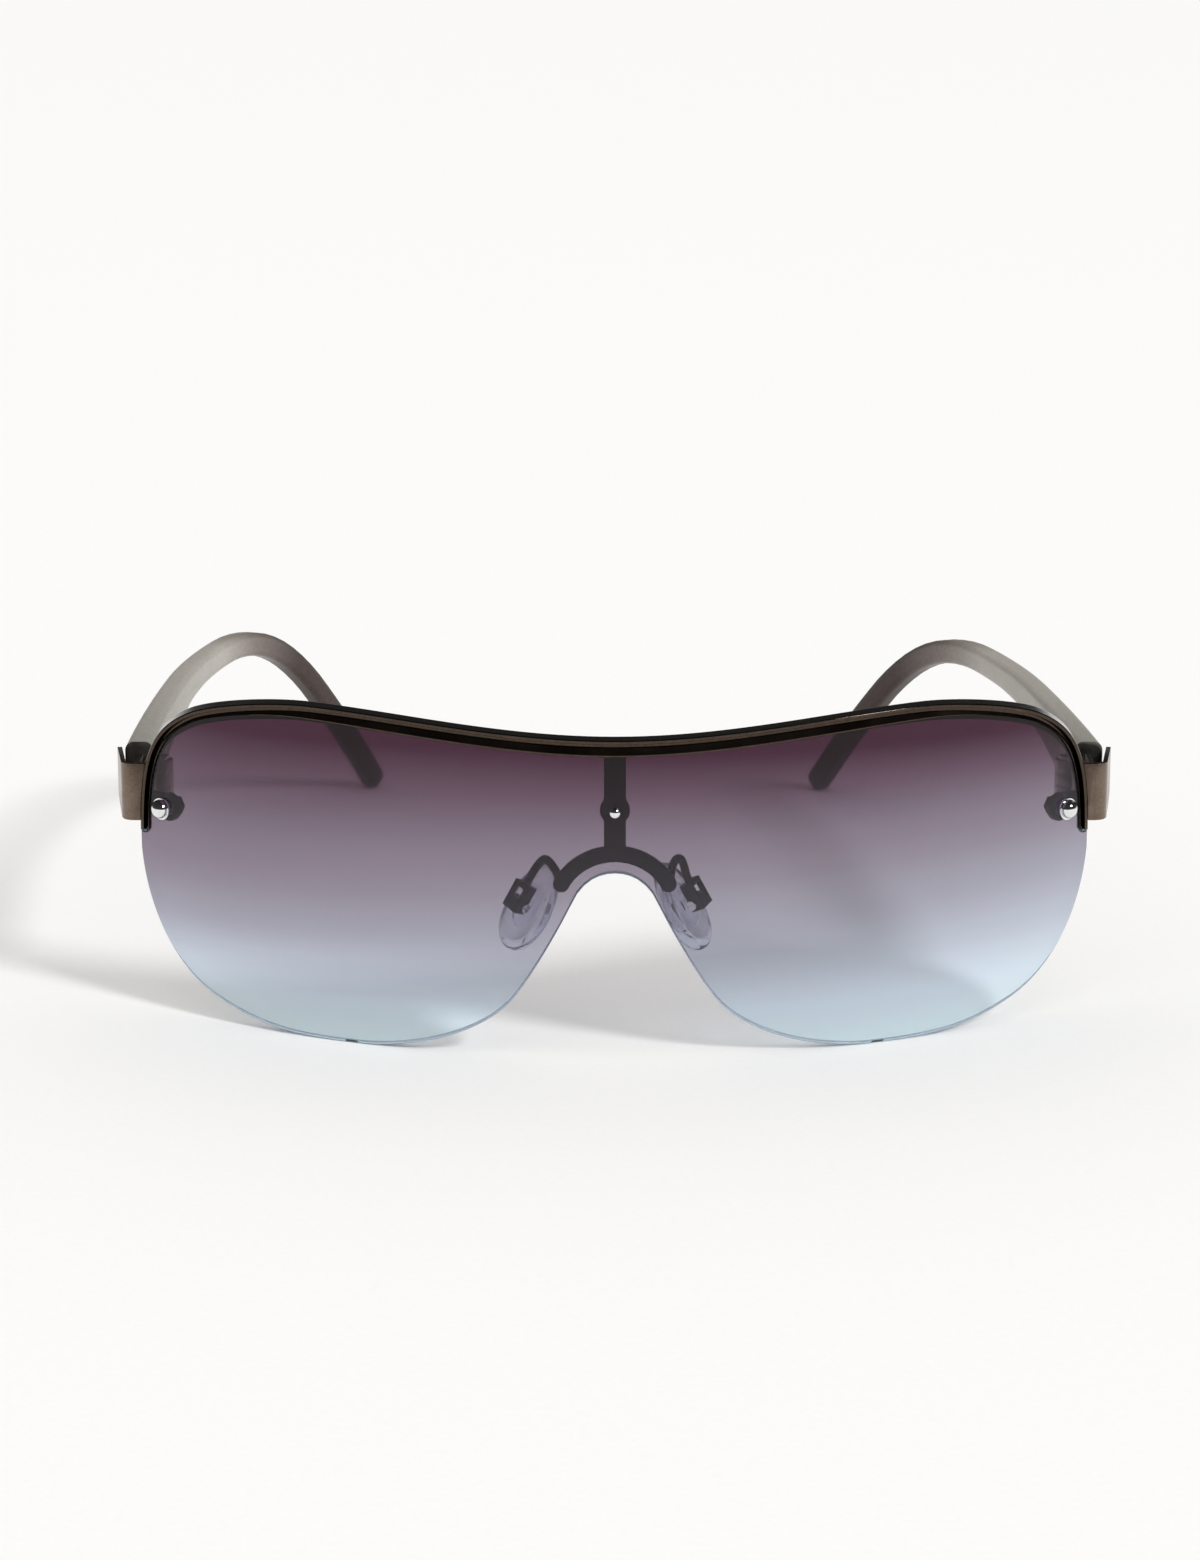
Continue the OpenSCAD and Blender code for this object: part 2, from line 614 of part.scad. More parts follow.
// The middle knuckle and the plate that is let into the temple's inner face
module rear_hinge(hand) {
    neck_x = knuckle_r - plate_t;
    color(dark_metal) at_temple(hand) translate([0, 0, end_z]) difference() {
        union() {
            translate([0, 0, -knuckle_h / 2 + run_gap / 2]) {
                cylinder(r = knuckle_r, h = knuckle_h - run_gap);
                translate([neck_x, 0, 0]) cube([plate_out - neck_x, 2 * plate_front, knuckle_h - run_gap]);
            }
            translate([plate_x, 0, 0]) rotate([90, 0, 90]) linear_extrude(height = plate_t) {
                translate([plate_front, -hinge_h / 2])
                    square([plate_l - plate_front - hinge_h / 2, hinge_h]);
                translate([plate_l - hinge_h / 2, 0]) circle(r = hinge_h / 2);
            }
        }
        translate([0, 0, -hinge_h]) cylinder(r = hinge_pin_r + run_gap, h = 2 * hinge_h);
        for (share = rivet_shares) translate([plate_x - overrun, plate_l * share, 0])
            rotate([0, 90, 0]) cylinder(r = plate_rivet_r + seat_gap, h = plate_t + 2 * overrun);
    }
}

// The two rivets that fasten the plate to the temple
module hinge_rivets(hand) {
    color(bright_metal) at_temple(hand)
        for (share = rivet_shares) translate([plate_x - seat_gap, plate_l * share, end_z]) {
            rotate([0, 90, 0]) cylinder(r = plate_rivet_r, h = rivet_l);
            rotate([0, 0, -90]) dome(plate_rivet_r * 1.6, plate_rivet_r * 0.6);
        }
}

// A closed skin over a row of rings with the same number of points
module skin(rings) {
    n = len(rings[0]);
    last = len(rings) - 1;
    polyhedron(
        points = [for (ring = rings) for (p = ring) p],
        faces = concat(
            [[for (j = [0 : n - 1]) j]],
            [[for (j = [n - 1 : -1 : 0]) last * n + j]],
            [for (i = [0 : last - 1]) for (j = [0 : n - 1])
                [i * n + j, (i + 1) * n + j, (i + 1) * n + (j + 1) % n]],
            [for (i = [0 : last - 1]) for (j = [0 : n - 1])
                [i * n + j, (i + 1) * n + (j + 1) % n, i * n + (j + 1) % n]]));
}

// The moulded temple with its seat and holes for the hinge plate
module temple(hand) {
    color(temple_brown) at_temple(hand) difference() {
        translate([-pin_x, -pin_y, 0]) skin(temple_rings(hand));
        translate([plate_x - overrun, 0, end_z - hinge_h / 2 - seat_gap])
            cube([plate_t + overrun + seat_gap, plate_l + seat_gap, hinge_h + 2 * seat_gap]);
        for (share = rivet_shares) translate([plate_x, plate_l * share, end_z])
            rotate([0, 90, 0]) cylinder(r = plate_rivet_r + seat_gap, h = rivet_l);
    }
}

// Puts a piece in the frame of a nose pad
module at_pad(hand) {
    centred() on_side(hand) translate(pad_place(hand))
        rotate([0, -pad_lean, 0])
            rotate([0, 0, -splay(hand)]) children();
}

// Rings of a flat round form, wide in the middle and closing towards both faces
pad_level_angles = [-88, -64, -42, -20, 0, 20, 42, 64, 88];
pad_sides = 24;
pad_belly_share = 0.85;
function pad_ring(l, w, t, a) = [for (j = [pad_sides - 1 : -1 : 0])
    let (turn = 360 * j / pad_sides, wide = pow(cos(a), 0.5))
    [t / 2 * sin(a), w / 2 * wide * cos(turn), l / 2 * wide * sin(turn)
        - l * (1 - pad_belly_share) / 2 * pow(cos(turn), 2) * wide]];

// The clear soft pad that rests on the nose
module nose_pad(hand) {
    color(clear_pad) at_pad(hand) difference() {
        skin([for (a = pad_level_angles) pad_ring(pad_l, pad_w, pad_t, a)]);
        insert_form(seat_gap);
    }
}

// The stiff plate moulded into the pad, with the tab that the screw goes through
module insert_form(grow) {
    straight = insert_l - pad_w / 2;
    translate([-insert_t / 2 - grow, 0, 0]) rotate([0, 90, 0])
        linear_extrude(height = insert_t + 2 * grow) {
            for (end = [-1, 1]) translate([end * straight / 2, 0]) circle(r = pad_w / 4 + grow);
            translate([-straight / 2, -pad_w / 4 - grow]) square([straight, pad_w / 2 + 2 * grow]);
        }
    translate([0, -tab_w / 2 - grow, screw_z - tab_r - grow])
        cube([screw_in, tab_w + 2 * grow, 2 * tab_r + 2 * grow]);
}

module pad_insert(hand) {
    color(bright_metal) at_pad(hand) difference() {
        union() {
            insert_form(0);
            translate([screw_in, tab_w / 2, screw_z]) rotate([90, 0, 0]) cylinder(r = tab_r, h = tab_w);
        }
        translate([screw_in, box_w, screw_z])
            rotate([90, 0, 0]) cylinder(r = pad_screw_r + run_gap, h = 2 * box_w);
    }
}

// The open box on the arm's end that holds the pad's tab, with a window in its back and one side
module pad_box(hand) {
    color(dark_metal) at_pad(hand) difference() {
        translate([box_in, -box_w / 2, box_mid_z - box_l / 2]) cube([box_d, box_w, box_l]);
        translate([box_in - overrun, -box_w / 2 + box_wall, box_mid_z - box_l / 2 - overrun])
            cube([box_d - box_wall + overrun, box_w - 2 * box_wall, box_l - box_wall + overrun]);
        translate([box_in, -box_w * 0.28, box_mid_z - box_l * 0.02])
            cube([box_d + overrun, box_w * 0.56, box_l * 0.36]);
        translate([box_in - overrun, 0, box_mid_z - box_l * 0.02])
            cube([overrun + (box_d - box_wall) * 0.9, box_w, box_l * 0.36]);
        translate([screw_in, box_w, screw_z])
            rotate([90, 0, 0]) cylinder(r = pad_screw_r + run_gap, h = 2 * box_w);
    }
}

// The small screw that the pad rocks on
module pad_screw(hand) {
    head_h = 0.45;
    color(dark_metal) at_pad(hand) translate([screw_in, 0, screw_z]) difference() {
        union() {
            translate([0, box_w / 2 + head_h / 2, 0])
                rotate([90, 0, 0]) cylinder(r = pad_screw_r, h = box_w + head_h);
            translate([0, -box_w / 2 - seat_gap, 0])
                rotate([90, 0, 0]) cylinder(r = pad_screw_r * 1.8, h = head_h);
        }
        translate([-box_w, -box_w / 2 - seat_gap - 1.5 * head_h, -pad_screw_r / 5])
            cube([2 * box_w, head_h, pad_screw_r * 0.4]);
    }
}

// The bent wire from the bracket's arch to the pad's box
function wire_ring(points, i) =
    let (last = len(points) - 1,
        run = i == 0 ? [0, 1, 0] : i == last ? -pad_up : points[i + 1] - points[i - 1],
        along = run / norm(run),
        sideways = cross([0, 0, 1], along) / norm(cross([0, 0, 1], along)),
        upright = cross(along, sideways))
    [for (j = [wire_sides - 1 : -1 : 0]) points[i]
        + arm_d / 2 * (cos(360 * j / wire_sides) * sideways + sin(360 * j / wire_sides) * upright)];
module pad_arm(hand) {
    color(dark_metal) centred() on_side(hand)
        skin([for (i = [0 : 2 * arm_steps]) wire_ring(arm_line(hand), i)]);
}

module end_piece_left() { end_piece(LEFT); }
module end_piece_right() { end_piece(RIGHT); }
module side_stud_left() { side_stud(LEFT); }
module side_stud_right() { side_stud(RIGHT); }
module stud_washer_left() { stud_washer(LEFT); }
module stud_washer_right() { stud_washer(RIGHT); }
module lens_sleeve_left() { lens_sleeve(LEFT); }
module lens_sleeve_right() { lens_sleeve(RIGHT); }
module stud_nut_left() { stud_nut(LEFT); }
module stud_nut_right() { stud_nut(RIGHT); }
module pad_arm_left() { pad_arm(LEFT); }
module pad_arm_right() { pad_arm(RIGHT); }
module pad_box_left() { pad_box(LEFT); }
module pad_box_right() { pad_box(RIGHT); }
module pad_screw_left() { pad_screw(LEFT); }
module pad_screw_right() { pad_screw(RIGHT); }
module pad_insert_left() { pad_insert(LEFT); }
module pad_insert_right() { pad_insert(RIGHT); }
module nose_pad_left() { nose_pad(LEFT); }
module nose_pad_right() { nose_pad(RIGHT); }
module front_hinge_left() { front_hinge(LEFT); }
module front_hinge_right() { front_hinge(RIGHT); }
module hinge_screw_left() { hinge_screw(LEFT); }
module hinge_screw_right() { hinge_screw(RIGHT); }
module rear_hinge_left() { rear_hinge(LEFT); }
module rear_hinge_right() { rear_hinge(RIGHT); }
module hinge_rivets_left() { hinge_rivets(LEFT); }
module hinge_rivets_right() { hinge_rivets(RIGHT); }
module temple_left() { temple(LEFT); }
module temple_right() { temple(RIGHT); }

lens();
brow_bar();
bridge_bracket();
bridge_rivet();
bridge_washer();
end_piece_left();
end_piece_right();
side_stud_left();
side_stud_right();
stud_washer_left();
stud_washer_right();
lens_sleeve_left();
lens_sleeve_right();
stud_nut_left();
stud_nut_right();
pad_arm_left();
pad_arm_right();
pad_box_left();
pad_box_right();
pad_screw_left();
pad_screw_right();
pad_insert_left();
pad_insert_right();
nose_pad_left();
nose_pad_right();
front_hinge_left();
front_hinge_right();
hinge_screw_left();
hinge_screw_right();
rear_hinge_left();
rear_hinge_right();
hinge_rivets_left();
hinge_rivets_right();
temple_left();
temple_right();
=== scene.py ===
import bmesh
import bpy
import json
from bisect import bisect_right
from functools import partial
from math import asin, cos, pi, radians, sin, sqrt
from mathutils import Matrix, Vector

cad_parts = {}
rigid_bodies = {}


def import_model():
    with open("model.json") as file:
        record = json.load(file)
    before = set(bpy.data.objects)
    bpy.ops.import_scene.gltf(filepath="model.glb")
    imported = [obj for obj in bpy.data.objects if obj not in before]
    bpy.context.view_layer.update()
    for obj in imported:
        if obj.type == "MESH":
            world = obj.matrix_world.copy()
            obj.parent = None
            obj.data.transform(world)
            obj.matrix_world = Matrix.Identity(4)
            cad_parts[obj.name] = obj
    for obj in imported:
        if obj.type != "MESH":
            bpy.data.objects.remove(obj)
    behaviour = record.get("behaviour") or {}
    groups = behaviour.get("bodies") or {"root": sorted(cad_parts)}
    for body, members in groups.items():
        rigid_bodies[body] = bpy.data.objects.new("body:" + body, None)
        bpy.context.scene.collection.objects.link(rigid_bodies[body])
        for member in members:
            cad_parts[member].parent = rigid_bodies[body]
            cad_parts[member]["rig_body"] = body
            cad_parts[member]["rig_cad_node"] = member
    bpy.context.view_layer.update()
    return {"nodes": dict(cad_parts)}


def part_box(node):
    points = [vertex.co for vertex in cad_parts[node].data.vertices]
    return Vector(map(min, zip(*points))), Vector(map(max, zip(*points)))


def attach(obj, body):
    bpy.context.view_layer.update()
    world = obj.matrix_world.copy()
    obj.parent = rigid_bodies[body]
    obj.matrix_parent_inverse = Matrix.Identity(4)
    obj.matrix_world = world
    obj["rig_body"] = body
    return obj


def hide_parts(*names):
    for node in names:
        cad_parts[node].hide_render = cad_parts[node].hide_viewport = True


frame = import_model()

# The product table: a long white sweep that the glasses stand on, a room that reflects pale at the
# horizon and dark above it, and one broad lamp at the front right. The camera stands in front and
# looks 14 degrees down.
mm = 0.001
mid_depth = -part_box("lens")[0].y / mm
bpy.context.scene.view_settings.view_transform = "Standard"


def clear_selection():
    if bpy.context.object and bpy.context.object.mode != "OBJECT":
        bpy.ops.object.mode_set(mode="OBJECT")
    bpy.ops.object.select_all(action="DESELECT")


clear_selection()
bpy.ops.mesh.primitive_plane_add(size=14)
table = bpy.context.object
table.name = "table_top"
bpy.ops.object.mode_set(mode="EDIT")
bpy.ops.mesh.subdivide(number_cuts=3)
bpy.ops.object.mode_set(mode="OBJECT")


def new_material(name, **values):
    """A material with its node tree and the inputs of its shader, of which those named are set."""
    material = bpy.data.materials.new(name)
    material.use_nodes = True
    inputs = material.node_tree.nodes["Principled BSDF"].inputs
    for key, value in values.items():
        inputs[key.replace("_", " ")].default_value = value
    return material, material.node_tree, inputs


def add(tree, kind, **values):
    """Adds a shader node and sets its inputs by name, or its settings where no input has that name."""
    node = tree.nodes.new("ShaderNode" + kind)
    for key, value in values.items():
        socket = node.inputs.get(key.replace("_", " "))
        if socket is None:
            setattr(node, key, value)
        else:
            socket.default_value = value
    return node


def feed(tree, value, socket):
    """Links another node's output to a socket, or sets the socket to a number."""
    if isinstance(value, bpy.types.NodeSocket):
        tree.links.new(value, socket)
    else:
        socket.default_value = value


def noise(tree, scale, detail, distortion=0.0):
    """A noise pattern on the piece's own coordinates."""
    place = add(tree, "TexCoord")
    pattern = add(tree, "TexNoise", Detail=detail, Distortion=distortion)
    tree.links.new(place.outputs["Object"], pattern.inputs["Vector"])
    feed(tree, scale, pattern.inputs["Scale"])
    return pattern.outputs["Fac"]


def ramp(tree, source, stops):
    """A colour ramp fed by a value, from (place, colour) stops; a colour may be one grey value."""
    node = add(tree, "ValToRGB")
    tree.links.new(source, node.inputs["Fac"])
    band = node.color_ramp
    while len(band.elements) < len(stops):
        band.elements.new(0.5)
    for element, (place, colour) in zip(band.elements, stops):
        element.position = place
        element.color = (*colour, 1) if isinstance(colour, tuple) else (colour, colour, colour, 1)
    return node.outputs["Color"]


paper, tree, inputs = new_material("white_sweep", Roughness=0.85, Specular_IOR_Level=0.1)
fibre = noise(tree, 900, 3)
feed(tree, ramp(tree, fibre, [(0.3, (0.925, 0.925, 0.92)), (0.7, (0.94, 0.94, 0.935))]), inputs["Base Color"])
table.data.materials.append(paper)


def calculate(tree, operation, *values):
    """The result of a Math node that works on numbers and other nodes' outputs."""
    node = add(tree, "Math", operation=operation)
    for value, socket in zip(values, node.inputs):
        feed(tree, value, socket)
    return node.outputs["Value"]


def position(tree, axis, space="Object"):
    """The X, Y or Z of a place on the piece, or of a direction in the room."""
    place = add(tree, "TexCoord")
    split = add(tree, "SeparateXYZ")
    tree.links.new(place.outputs[space], split.inputs["Vector"])
    return split.outputs[axis]


room = bpy.context.scene.world or bpy.data.worlds.new("room")
bpy.context.scene.world = room
room.use_nodes = True
tree = room.node_tree
tree.nodes.clear()
path = add(tree, "LightPath")
through = calculate(tree, "MAXIMUM", path.outputs["Is Camera Ray"], path.outputs["Is Transmission Ray"])
shown = calculate(tree, "MAXIMUM", through, path.outputs["Is Glossy Ray"])
studio = ramp(tree, position(tree, "Z", "Generated"), [(0.0, 0.45), (0.04, 0.2), (0.1, 0.04), (0.95, 0.02)])
white = add(tree, "MixRGB", Color2=(0.94, 0.94, 0.94, 1))
feed(tree, through, white.inputs["Fac"])
feed(tree, studio, white.inputs["Color1"])
seen = add(tree, "Background", Strength=1.0)
feed(tree, white.outputs["Color"], seen.inputs["Color"])
soft = add(tree, "Background", Color=(1, 0.985, 0.965, 1), Strength=0.755)
either = add(tree, "MixShader")
feed(tree, shown, either.inputs["Fac"])
tree.links.new(soft.outputs["Background"], either.inputs[1])
tree.links.new(seen.outputs["Background"], either.inputs[2])
tree.links.new(either.outputs["Shader"], add(tree, "OutputWorld").inputs["Surface"])

bpy.ops.object.light_add(type="SUN", location=(0.58, -0.52, 0.61))
lamp = bpy.context.object
lamp.name = "key_lamp"
lamp.data.angle = radians(13)
lamp.data.energy = 1.62
lamp.data.color = (0.98, 0.99, 1)
lamp.rotation_euler = lamp.location.to_track_quat("Z", "Y").to_euler()

look_down = 14
sensor_w, picture_w, focal_px = 36, 1200, 4302
view_from = Vector((-2.09, -582.18 - mid_depth, 185.75)) * mm
bpy.ops.object.camera_add(location=view_from, rotation=(radians(90 - look_down), 0, 0))
camera = bpy.context.object
camera.data.sensor_fit = "HORIZONTAL"
camera.data.sensor_width = sensor_w
camera.data.lens = focal_px * sensor_w / picture_w
camera.data.clip_start = 0.01
bpy.context.scene.camera = camera

# The lens is one injection-moulded polycarbonate shield, bent to a cylinder and dip-tinted from
# plum at the top to a pale blue at the bottom. Its edge is ground, and three holes are drilled in it.
# Sizes here and below are in millimetres, and half outlines are shares of the half width and height.
lens_r, lens_t, half_w, front_h = 102, 1.8, 69.3, 49
lip_w, seat_gap, notch_gap, edge_bevel = 1.1, 0.05, 0.04, 0.14
bar_start = (0, 0.943)
bar_curves = [
    [(0.231, 0.943), (0.433, 0.998), (0.628, 1)],
    [(0.714, 1), (0.837, 0.966), (0.887, 0.9265)],
    [(0.969, 0.861), (0.998, 0.7735), (1, 0.541)]]
side_curves = [
    [(1, 0.316), (0.931, 0.1347), (0.8225, 0.0663)],
    [(0.736, 0.0122), (0.678, 0), (0.563, 0)]]
flat_end = (0.53, 0)
nose_curves = [
    [(0.455, 0), (0.31, 0.032), (0.224, 0.145)],
    [(0.18, 0.204), (0.1, 0.42), (0.085, 0.4695)],
    [(0.068, 0.52), (0.0375, 0.552), (0, 0.552)]]
bar_steps, nose_steps, lens_rows = 24, 20, 18
wide_column, fine_column, fine_from, least_height = 0.9, 0.12, 60, 0.4


def bend(p, q, r, s, t):
    """A point on a cubic curve."""
    return tuple((1 - t) ** 3 * a + 3 * (1 - t) ** 2 * t * b + 3 * (1 - t) * t * t * c + t ** 3 * d
                 for a, b, c, d in zip(p, q, r, s))


def outline(start, curves, steps):
    """The points of a run of curves, without the first one."""
    points = []
    for a, b, c in curves:
        points += [bend(start, a, b, c, k / steps) for k in range(1, steps + 1)]
        start = c
    return [(x * half_w, z * front_h) for x, z in points]


def inset(points, depths):
    """The outline moved inwards by a depth for each point; the first point lies on the middle line."""
    moved = []
    for i, (x, z) in enumerate(points):
        ahead = points[min(i + 1, len(points) - 1)]
        behind = points[i - 1] if i else (-points[1][0], points[1][1])
        run = Vector((ahead[0] - behind[0], ahead[1] - behind[1])).normalized()
        moved.append((x + depths[i] * run.y, z - depths[i] * run.x))
    return moved


def lookup(x, rows):
    """The value at x between rows of (x, value), which are sorted by x."""
    i = min(max(bisect_right([row[0] for row in rows], x), 1), len(rows) - 1)
    (a, b), (c, d) = rows[i - 1], rows[i]
    return b if c == a else b + (d - b) * min(max((x - a) / (c - a), 0), 1)


def fall(x, depth=0):
    """How far back the lens's layer at a depth lies at x."""
    return lens_r - sqrt((lens_r - depth) ** 2 - x * x)


def spot(x, y, z):
    """A point of the front, given in mm from the lens's foremost line, in the model's frame."""
    return Vector((x, y - mid_depth, z)) * mm


def loft(name, rings, close=False):
    """Extrudes a loop from ring to ring, then fills its two ends, or joins them if it closes."""
    clear_selection()
    bpy.ops.mesh.primitive_circle_add(vertices=len(rings[0]), radius=mm)
    piece = bpy.context.object
    piece.name = piece.data.name = name
    bpy.ops.object.mode_set(mode="EDIT")
    mesh = bmesh.from_edit_mesh(piece.data)
    mesh.verts.ensure_lookup_table()
    loop = [v for v in mesh.verts]
    for vertex, point in zip(loop, rings[0]):
        vertex.co = point
    for ring in rings[1:]:
        places = {tuple(v.co): i for i, v in enumerate(loop)}
        bpy.ops.mesh.extrude_edges_indiv()
        mesh = bmesh.from_edit_mesh(piece.data)
        fresh = sorted((v for v in mesh.verts if v.select), key=lambda v: places[tuple(v.co)])
        for vertex, point in zip(fresh, ring):
            vertex.co = point
        loop = fresh
    bmesh.update_edit_mesh(piece.data)
    bpy.ops.mesh.select_all(action="SELECT")
    if close:
        bpy.ops.mesh.remove_doubles(threshold=1e-7)
    else:
        bpy.ops.mesh.fill_holes(sides=0)
    bpy.ops.mesh.normals_make_consistent(inside=False)
    bpy.ops.object.mode_set(mode="OBJECT")
    return piece


def pick(piece):
    """Selects one piece alone and makes it active."""
    clear_selection()
    piece.select_set(True)
    bpy.context.view_layer.objects.active = piece


def soften(piece, angle=35):
    """Smooth shading that keeps the edges sharper than the angle."""
    pick(piece)
    bpy.ops.object.shade_smooth_by_angle(angle=radians(angle))
    return piece


def apply_last(piece):
    bpy.context.view_layer.objects.active = piece
    bpy.ops.object.modifier_apply(modifier=piece.modifiers[-1].name)


def cut(piece, tool):
    """Cuts the tool's shape out of the piece and throws the tool away."""
    away = piece.modifiers.new("cut", "BOOLEAN")
    away.operation = "DIFFERENCE"
    away.solver = "EXACT"
    away.object = tool
    apply_last(piece)
    bpy.data.objects.remove(tool)
    return piece


def dress(piece, material):
    piece.data.materials.clear()
    piece.data.materials.append(material)
    return piece


bar_edge = [(0, bar_start[1] * front_h)] + outline(bar_start, bar_curves, bar_steps)
bar_end = bar_edge[-1][1]
notch_z = bar_end - seat_gap
top_line = (inset(bar_edge, [lip_w + seat_gap] * len(bar_edge))
            + [(half_w - lip_w - notch_gap, notch_z), (half_w, notch_z)])
low_line = ([(half_w, notch_z)] + outline(bar_curves[-1][-1], side_curves, bar_steps)
            + [(flat_end[0] * half_w, 0)] + outline(flat_end, nose_curves, nose_steps))
places = sorted({round(x, 3) for x, z in top_line + low_line if 0 <= x < half_w})
columns = [places[0]]
for x in places[1:]:
    if x - columns[-1] > (wide_column if x < fine_from else fine_column):
        columns.append(x)
top_line.sort()
low_line.sort()
columns = [x for x in columns if lookup(x, top_line) - lookup(x, low_line) > least_height]
columns = [-x for x in reversed(columns[1:])] + columns
lens_rings = []
for x in columns:
    top, low = lookup(abs(x), top_line), lookup(abs(x), low_line)
    face_h = top - low - 2 * edge_bevel
    heights = [low + edge_bevel + face_h * k / lens_rows for k in range(lens_rows + 1)]
    lens_rings.append(
        [spot(x, fall(x), z) for z in heights]
        + [spot(x, fall(x, edge_bevel), top), spot(x, fall(x, lens_t - edge_bevel), top)]
        + [spot(x, fall(x, lens_t), z) for z in reversed(heights)]
        + [spot(x, fall(x, lens_t - edge_bevel), low), spot(x, fall(x, edge_bevel), low)])
shield = loft("tinted_shield", lens_rings)


def on_lens(angle, z, point):
    """A point given beside, behind and above a place on the lens's outer face, along its normal there."""
    turn = Matrix.Rotation(angle, 3, "Z")
    moved = turn @ Vector((point[0], point[1] - lens_r, 0))
    return spot(moved.x, moved.y + lens_r, z + point[2])


def turned(name, profile, put, steps=40, close=False):
    """A lathe-turned piece: its profile gives radius and depth, and put places each point."""
    return loft(name, [[put((r * cos(2 * pi * k / steps), depth, r * sin(2 * pi * k / steps)))
                        for k in range(steps)] for r, depth in profile], close)


stud_x_share, stud_z_share, rivet_z_share = 0.9495, 0.619, 0.731
stud_angle, stud_z = asin(stud_x_share * half_w / lens_r), stud_z_share * front_h
rivet_z = rivet_z_share * front_h
stud_hole_r, rivet_hole_r = 1.2, 0.55
drill_from, drill_to = -1, 3
holes = [(-stud_angle, stud_z, stud_hole_r), (stud_angle, stud_z, stud_hole_r), (0, rivet_z, rivet_hole_r)]
for angle, z, r in holes:
    cut(shield, turned("drill", [(r, drill_from), (r, drill_to)], partial(on_lens, angle, z), 32))
soften(shield, 30)

# Halfway down the lens the tint is paler on the right and darker on the left. This slant is a painted
# highlight of the lamp on the right half and painted shade on the left. The dye also clouds.
highlight_tilt, dye_cloud = -1.5, 0.05
tint, tree, inputs = new_material("dip_tint", Transmission_Weight=0.95, IOR=1.33)
share = calculate(tree, "MULTIPLY_ADD", position(tree, "Z"), 1 / (front_h * mm), -dye_cloud / 2)
highlight_band = ramp(tree, share, [(0.05, 0.0), (0.45, 1.0), (0.85, 0.0)])
aside = calculate(tree, "MULTIPLY", highlight_band, position(tree, "X"))
uneven = calculate(tree, "MULTIPLY_ADD", aside, highlight_tilt, share)
drift = calculate(tree, "MULTIPLY_ADD", noise(tree, 14, 2), dye_cloud, uneven)
dye = ramp(tree, drift, [
    (0.04, (0.83, 0.955, 1.0)), (0.13, (0.78, 0.895, 1.0)), (0.24, (0.58, 0.63, 0.73)),
    (0.36, (0.415, 0.412, 0.495)), (0.5, (0.318, 0.287, 0.352)), (0.64, (0.243, 0.195, 0.255)),
    (0.78, (0.14, 0.084, 0.126)), (0.9, (0.055, 0.014, 0.035))])
feed(tree, dye, inputs["Base Color"])
feed(tree, ramp(tree, noise(tree, 60, 4), [(0.35, 0.03), (0.75, 0.06)]), inputs["Roughness"])
dress(shield, tint)
ground, tree, inputs = new_material("ground_edge", Transmission_Weight=0.6, IOR=1.33)
scratch = noise(tree, 500, 4)
feed(tree, ramp(tree, scratch, [(0.35, (0.2, 0.27, 0.37)), (0.65, (0.28, 0.36, 0.47))]), inputs["Base Color"])
feed(tree, ramp(tree, scratch, [(0.3, 0.3), (0.7, 0.5)]), inputs["Roughness"])
shield.data.materials.append(ground)
face_limit = 0.8
for face in shield.data.polygons:
    outward = Vector((face.center.x, face.center.y - (lens_r - mid_depth) * mm, 0)).normalized()
    if abs(face.normal.dot(outward)) < face_limit:
        face.material_index = 1
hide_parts("lens")
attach(shield, "front")

# The brow bar is a bent and milled steel strip, plated in dark gunmetal. Its lip has a crown over the
# lens's edge, a groove and a bead in front of the lens, and its flange runs behind the lens. Round
# eyes on the flange take the side screws, and a foot closes each end.
proud, groove_depth, groove_wall, groove_foot = -0.25, 0.6, 0.03, -0.02
flange_t, flange_corner = 0.8, 0.12
lens_back = lens_t + seat_gap
flange_back = lens_back + flange_t
flange_widths = [(0, 1.6), (1 / 3, 1.55), (2 / 3, 1.5), (1, 0.9)]
bead_widths = [(0, 1.25), (0.25, 1.1), (0.45, 0.5), (0.7, 0.3), (1, 0.2)]
crown = [(0.0, 0.3), (0.0, 0.16), (0.03, 0.06), (0.08, 0.01), (0.14, 0), (0.4, 0), (0.48, 0.02),
         (0.53, 0.08), (0.56, 0.18), (0.56, groove_depth), (lip_w - groove_wall, groove_depth)]
bead_form = [(0.35, -0.12), (0.7, -0.21), (0.8, -0.24), (0.9, -0.245), (0.98, -0.21), (1, -0.15),
             (1, -0.012), (0, -0.012)]
eye_r, eye_hole_r = 2.1, 0.75
tab_from, tab_to, tab_low, tab_high = 0.9, 3.6, -1.0, 1.9
foot_r, foot_in, foot_up = 0.9, 0.92, 1.4
foot_top = (1.2, 0.3)


def edge_wear():
    """Where a piece's edges stand out, rubbed bright by handling. Put out as a mask."""
    group = bpy.data.node_groups.new("edge_wear", "ShaderNodeTree")
    group.interface.new_socket("Strength", in_out="INPUT", socket_type="NodeSocketFloat").default_value = 0.5
    group.interface.new_socket("Patches", in_out="INPUT", socket_type="NodeSocketFloat").default_value = 400
    group.interface.new_socket("Wear", in_out="OUTPUT", socket_type="NodeSocketFloat")
    given = group.nodes.new("NodeGroupInput").outputs
    result = group.nodes.new("NodeGroupOutput").inputs
    ridge = ramp(group, add(group, "NewGeometry").outputs["Pointiness"], [(0.51, 0.0), (0.6, 1.0)])
    patches = ramp(group, noise(group, given["Patches"], 4), [(0.35, 0.2), (0.65, 1.0)])
    rubbed = calculate(group, "MULTIPLY", ridge, patches)
    feed(group, calculate(group, "MULTIPLY", rubbed, given["Strength"]), result["Wear"])
    return group


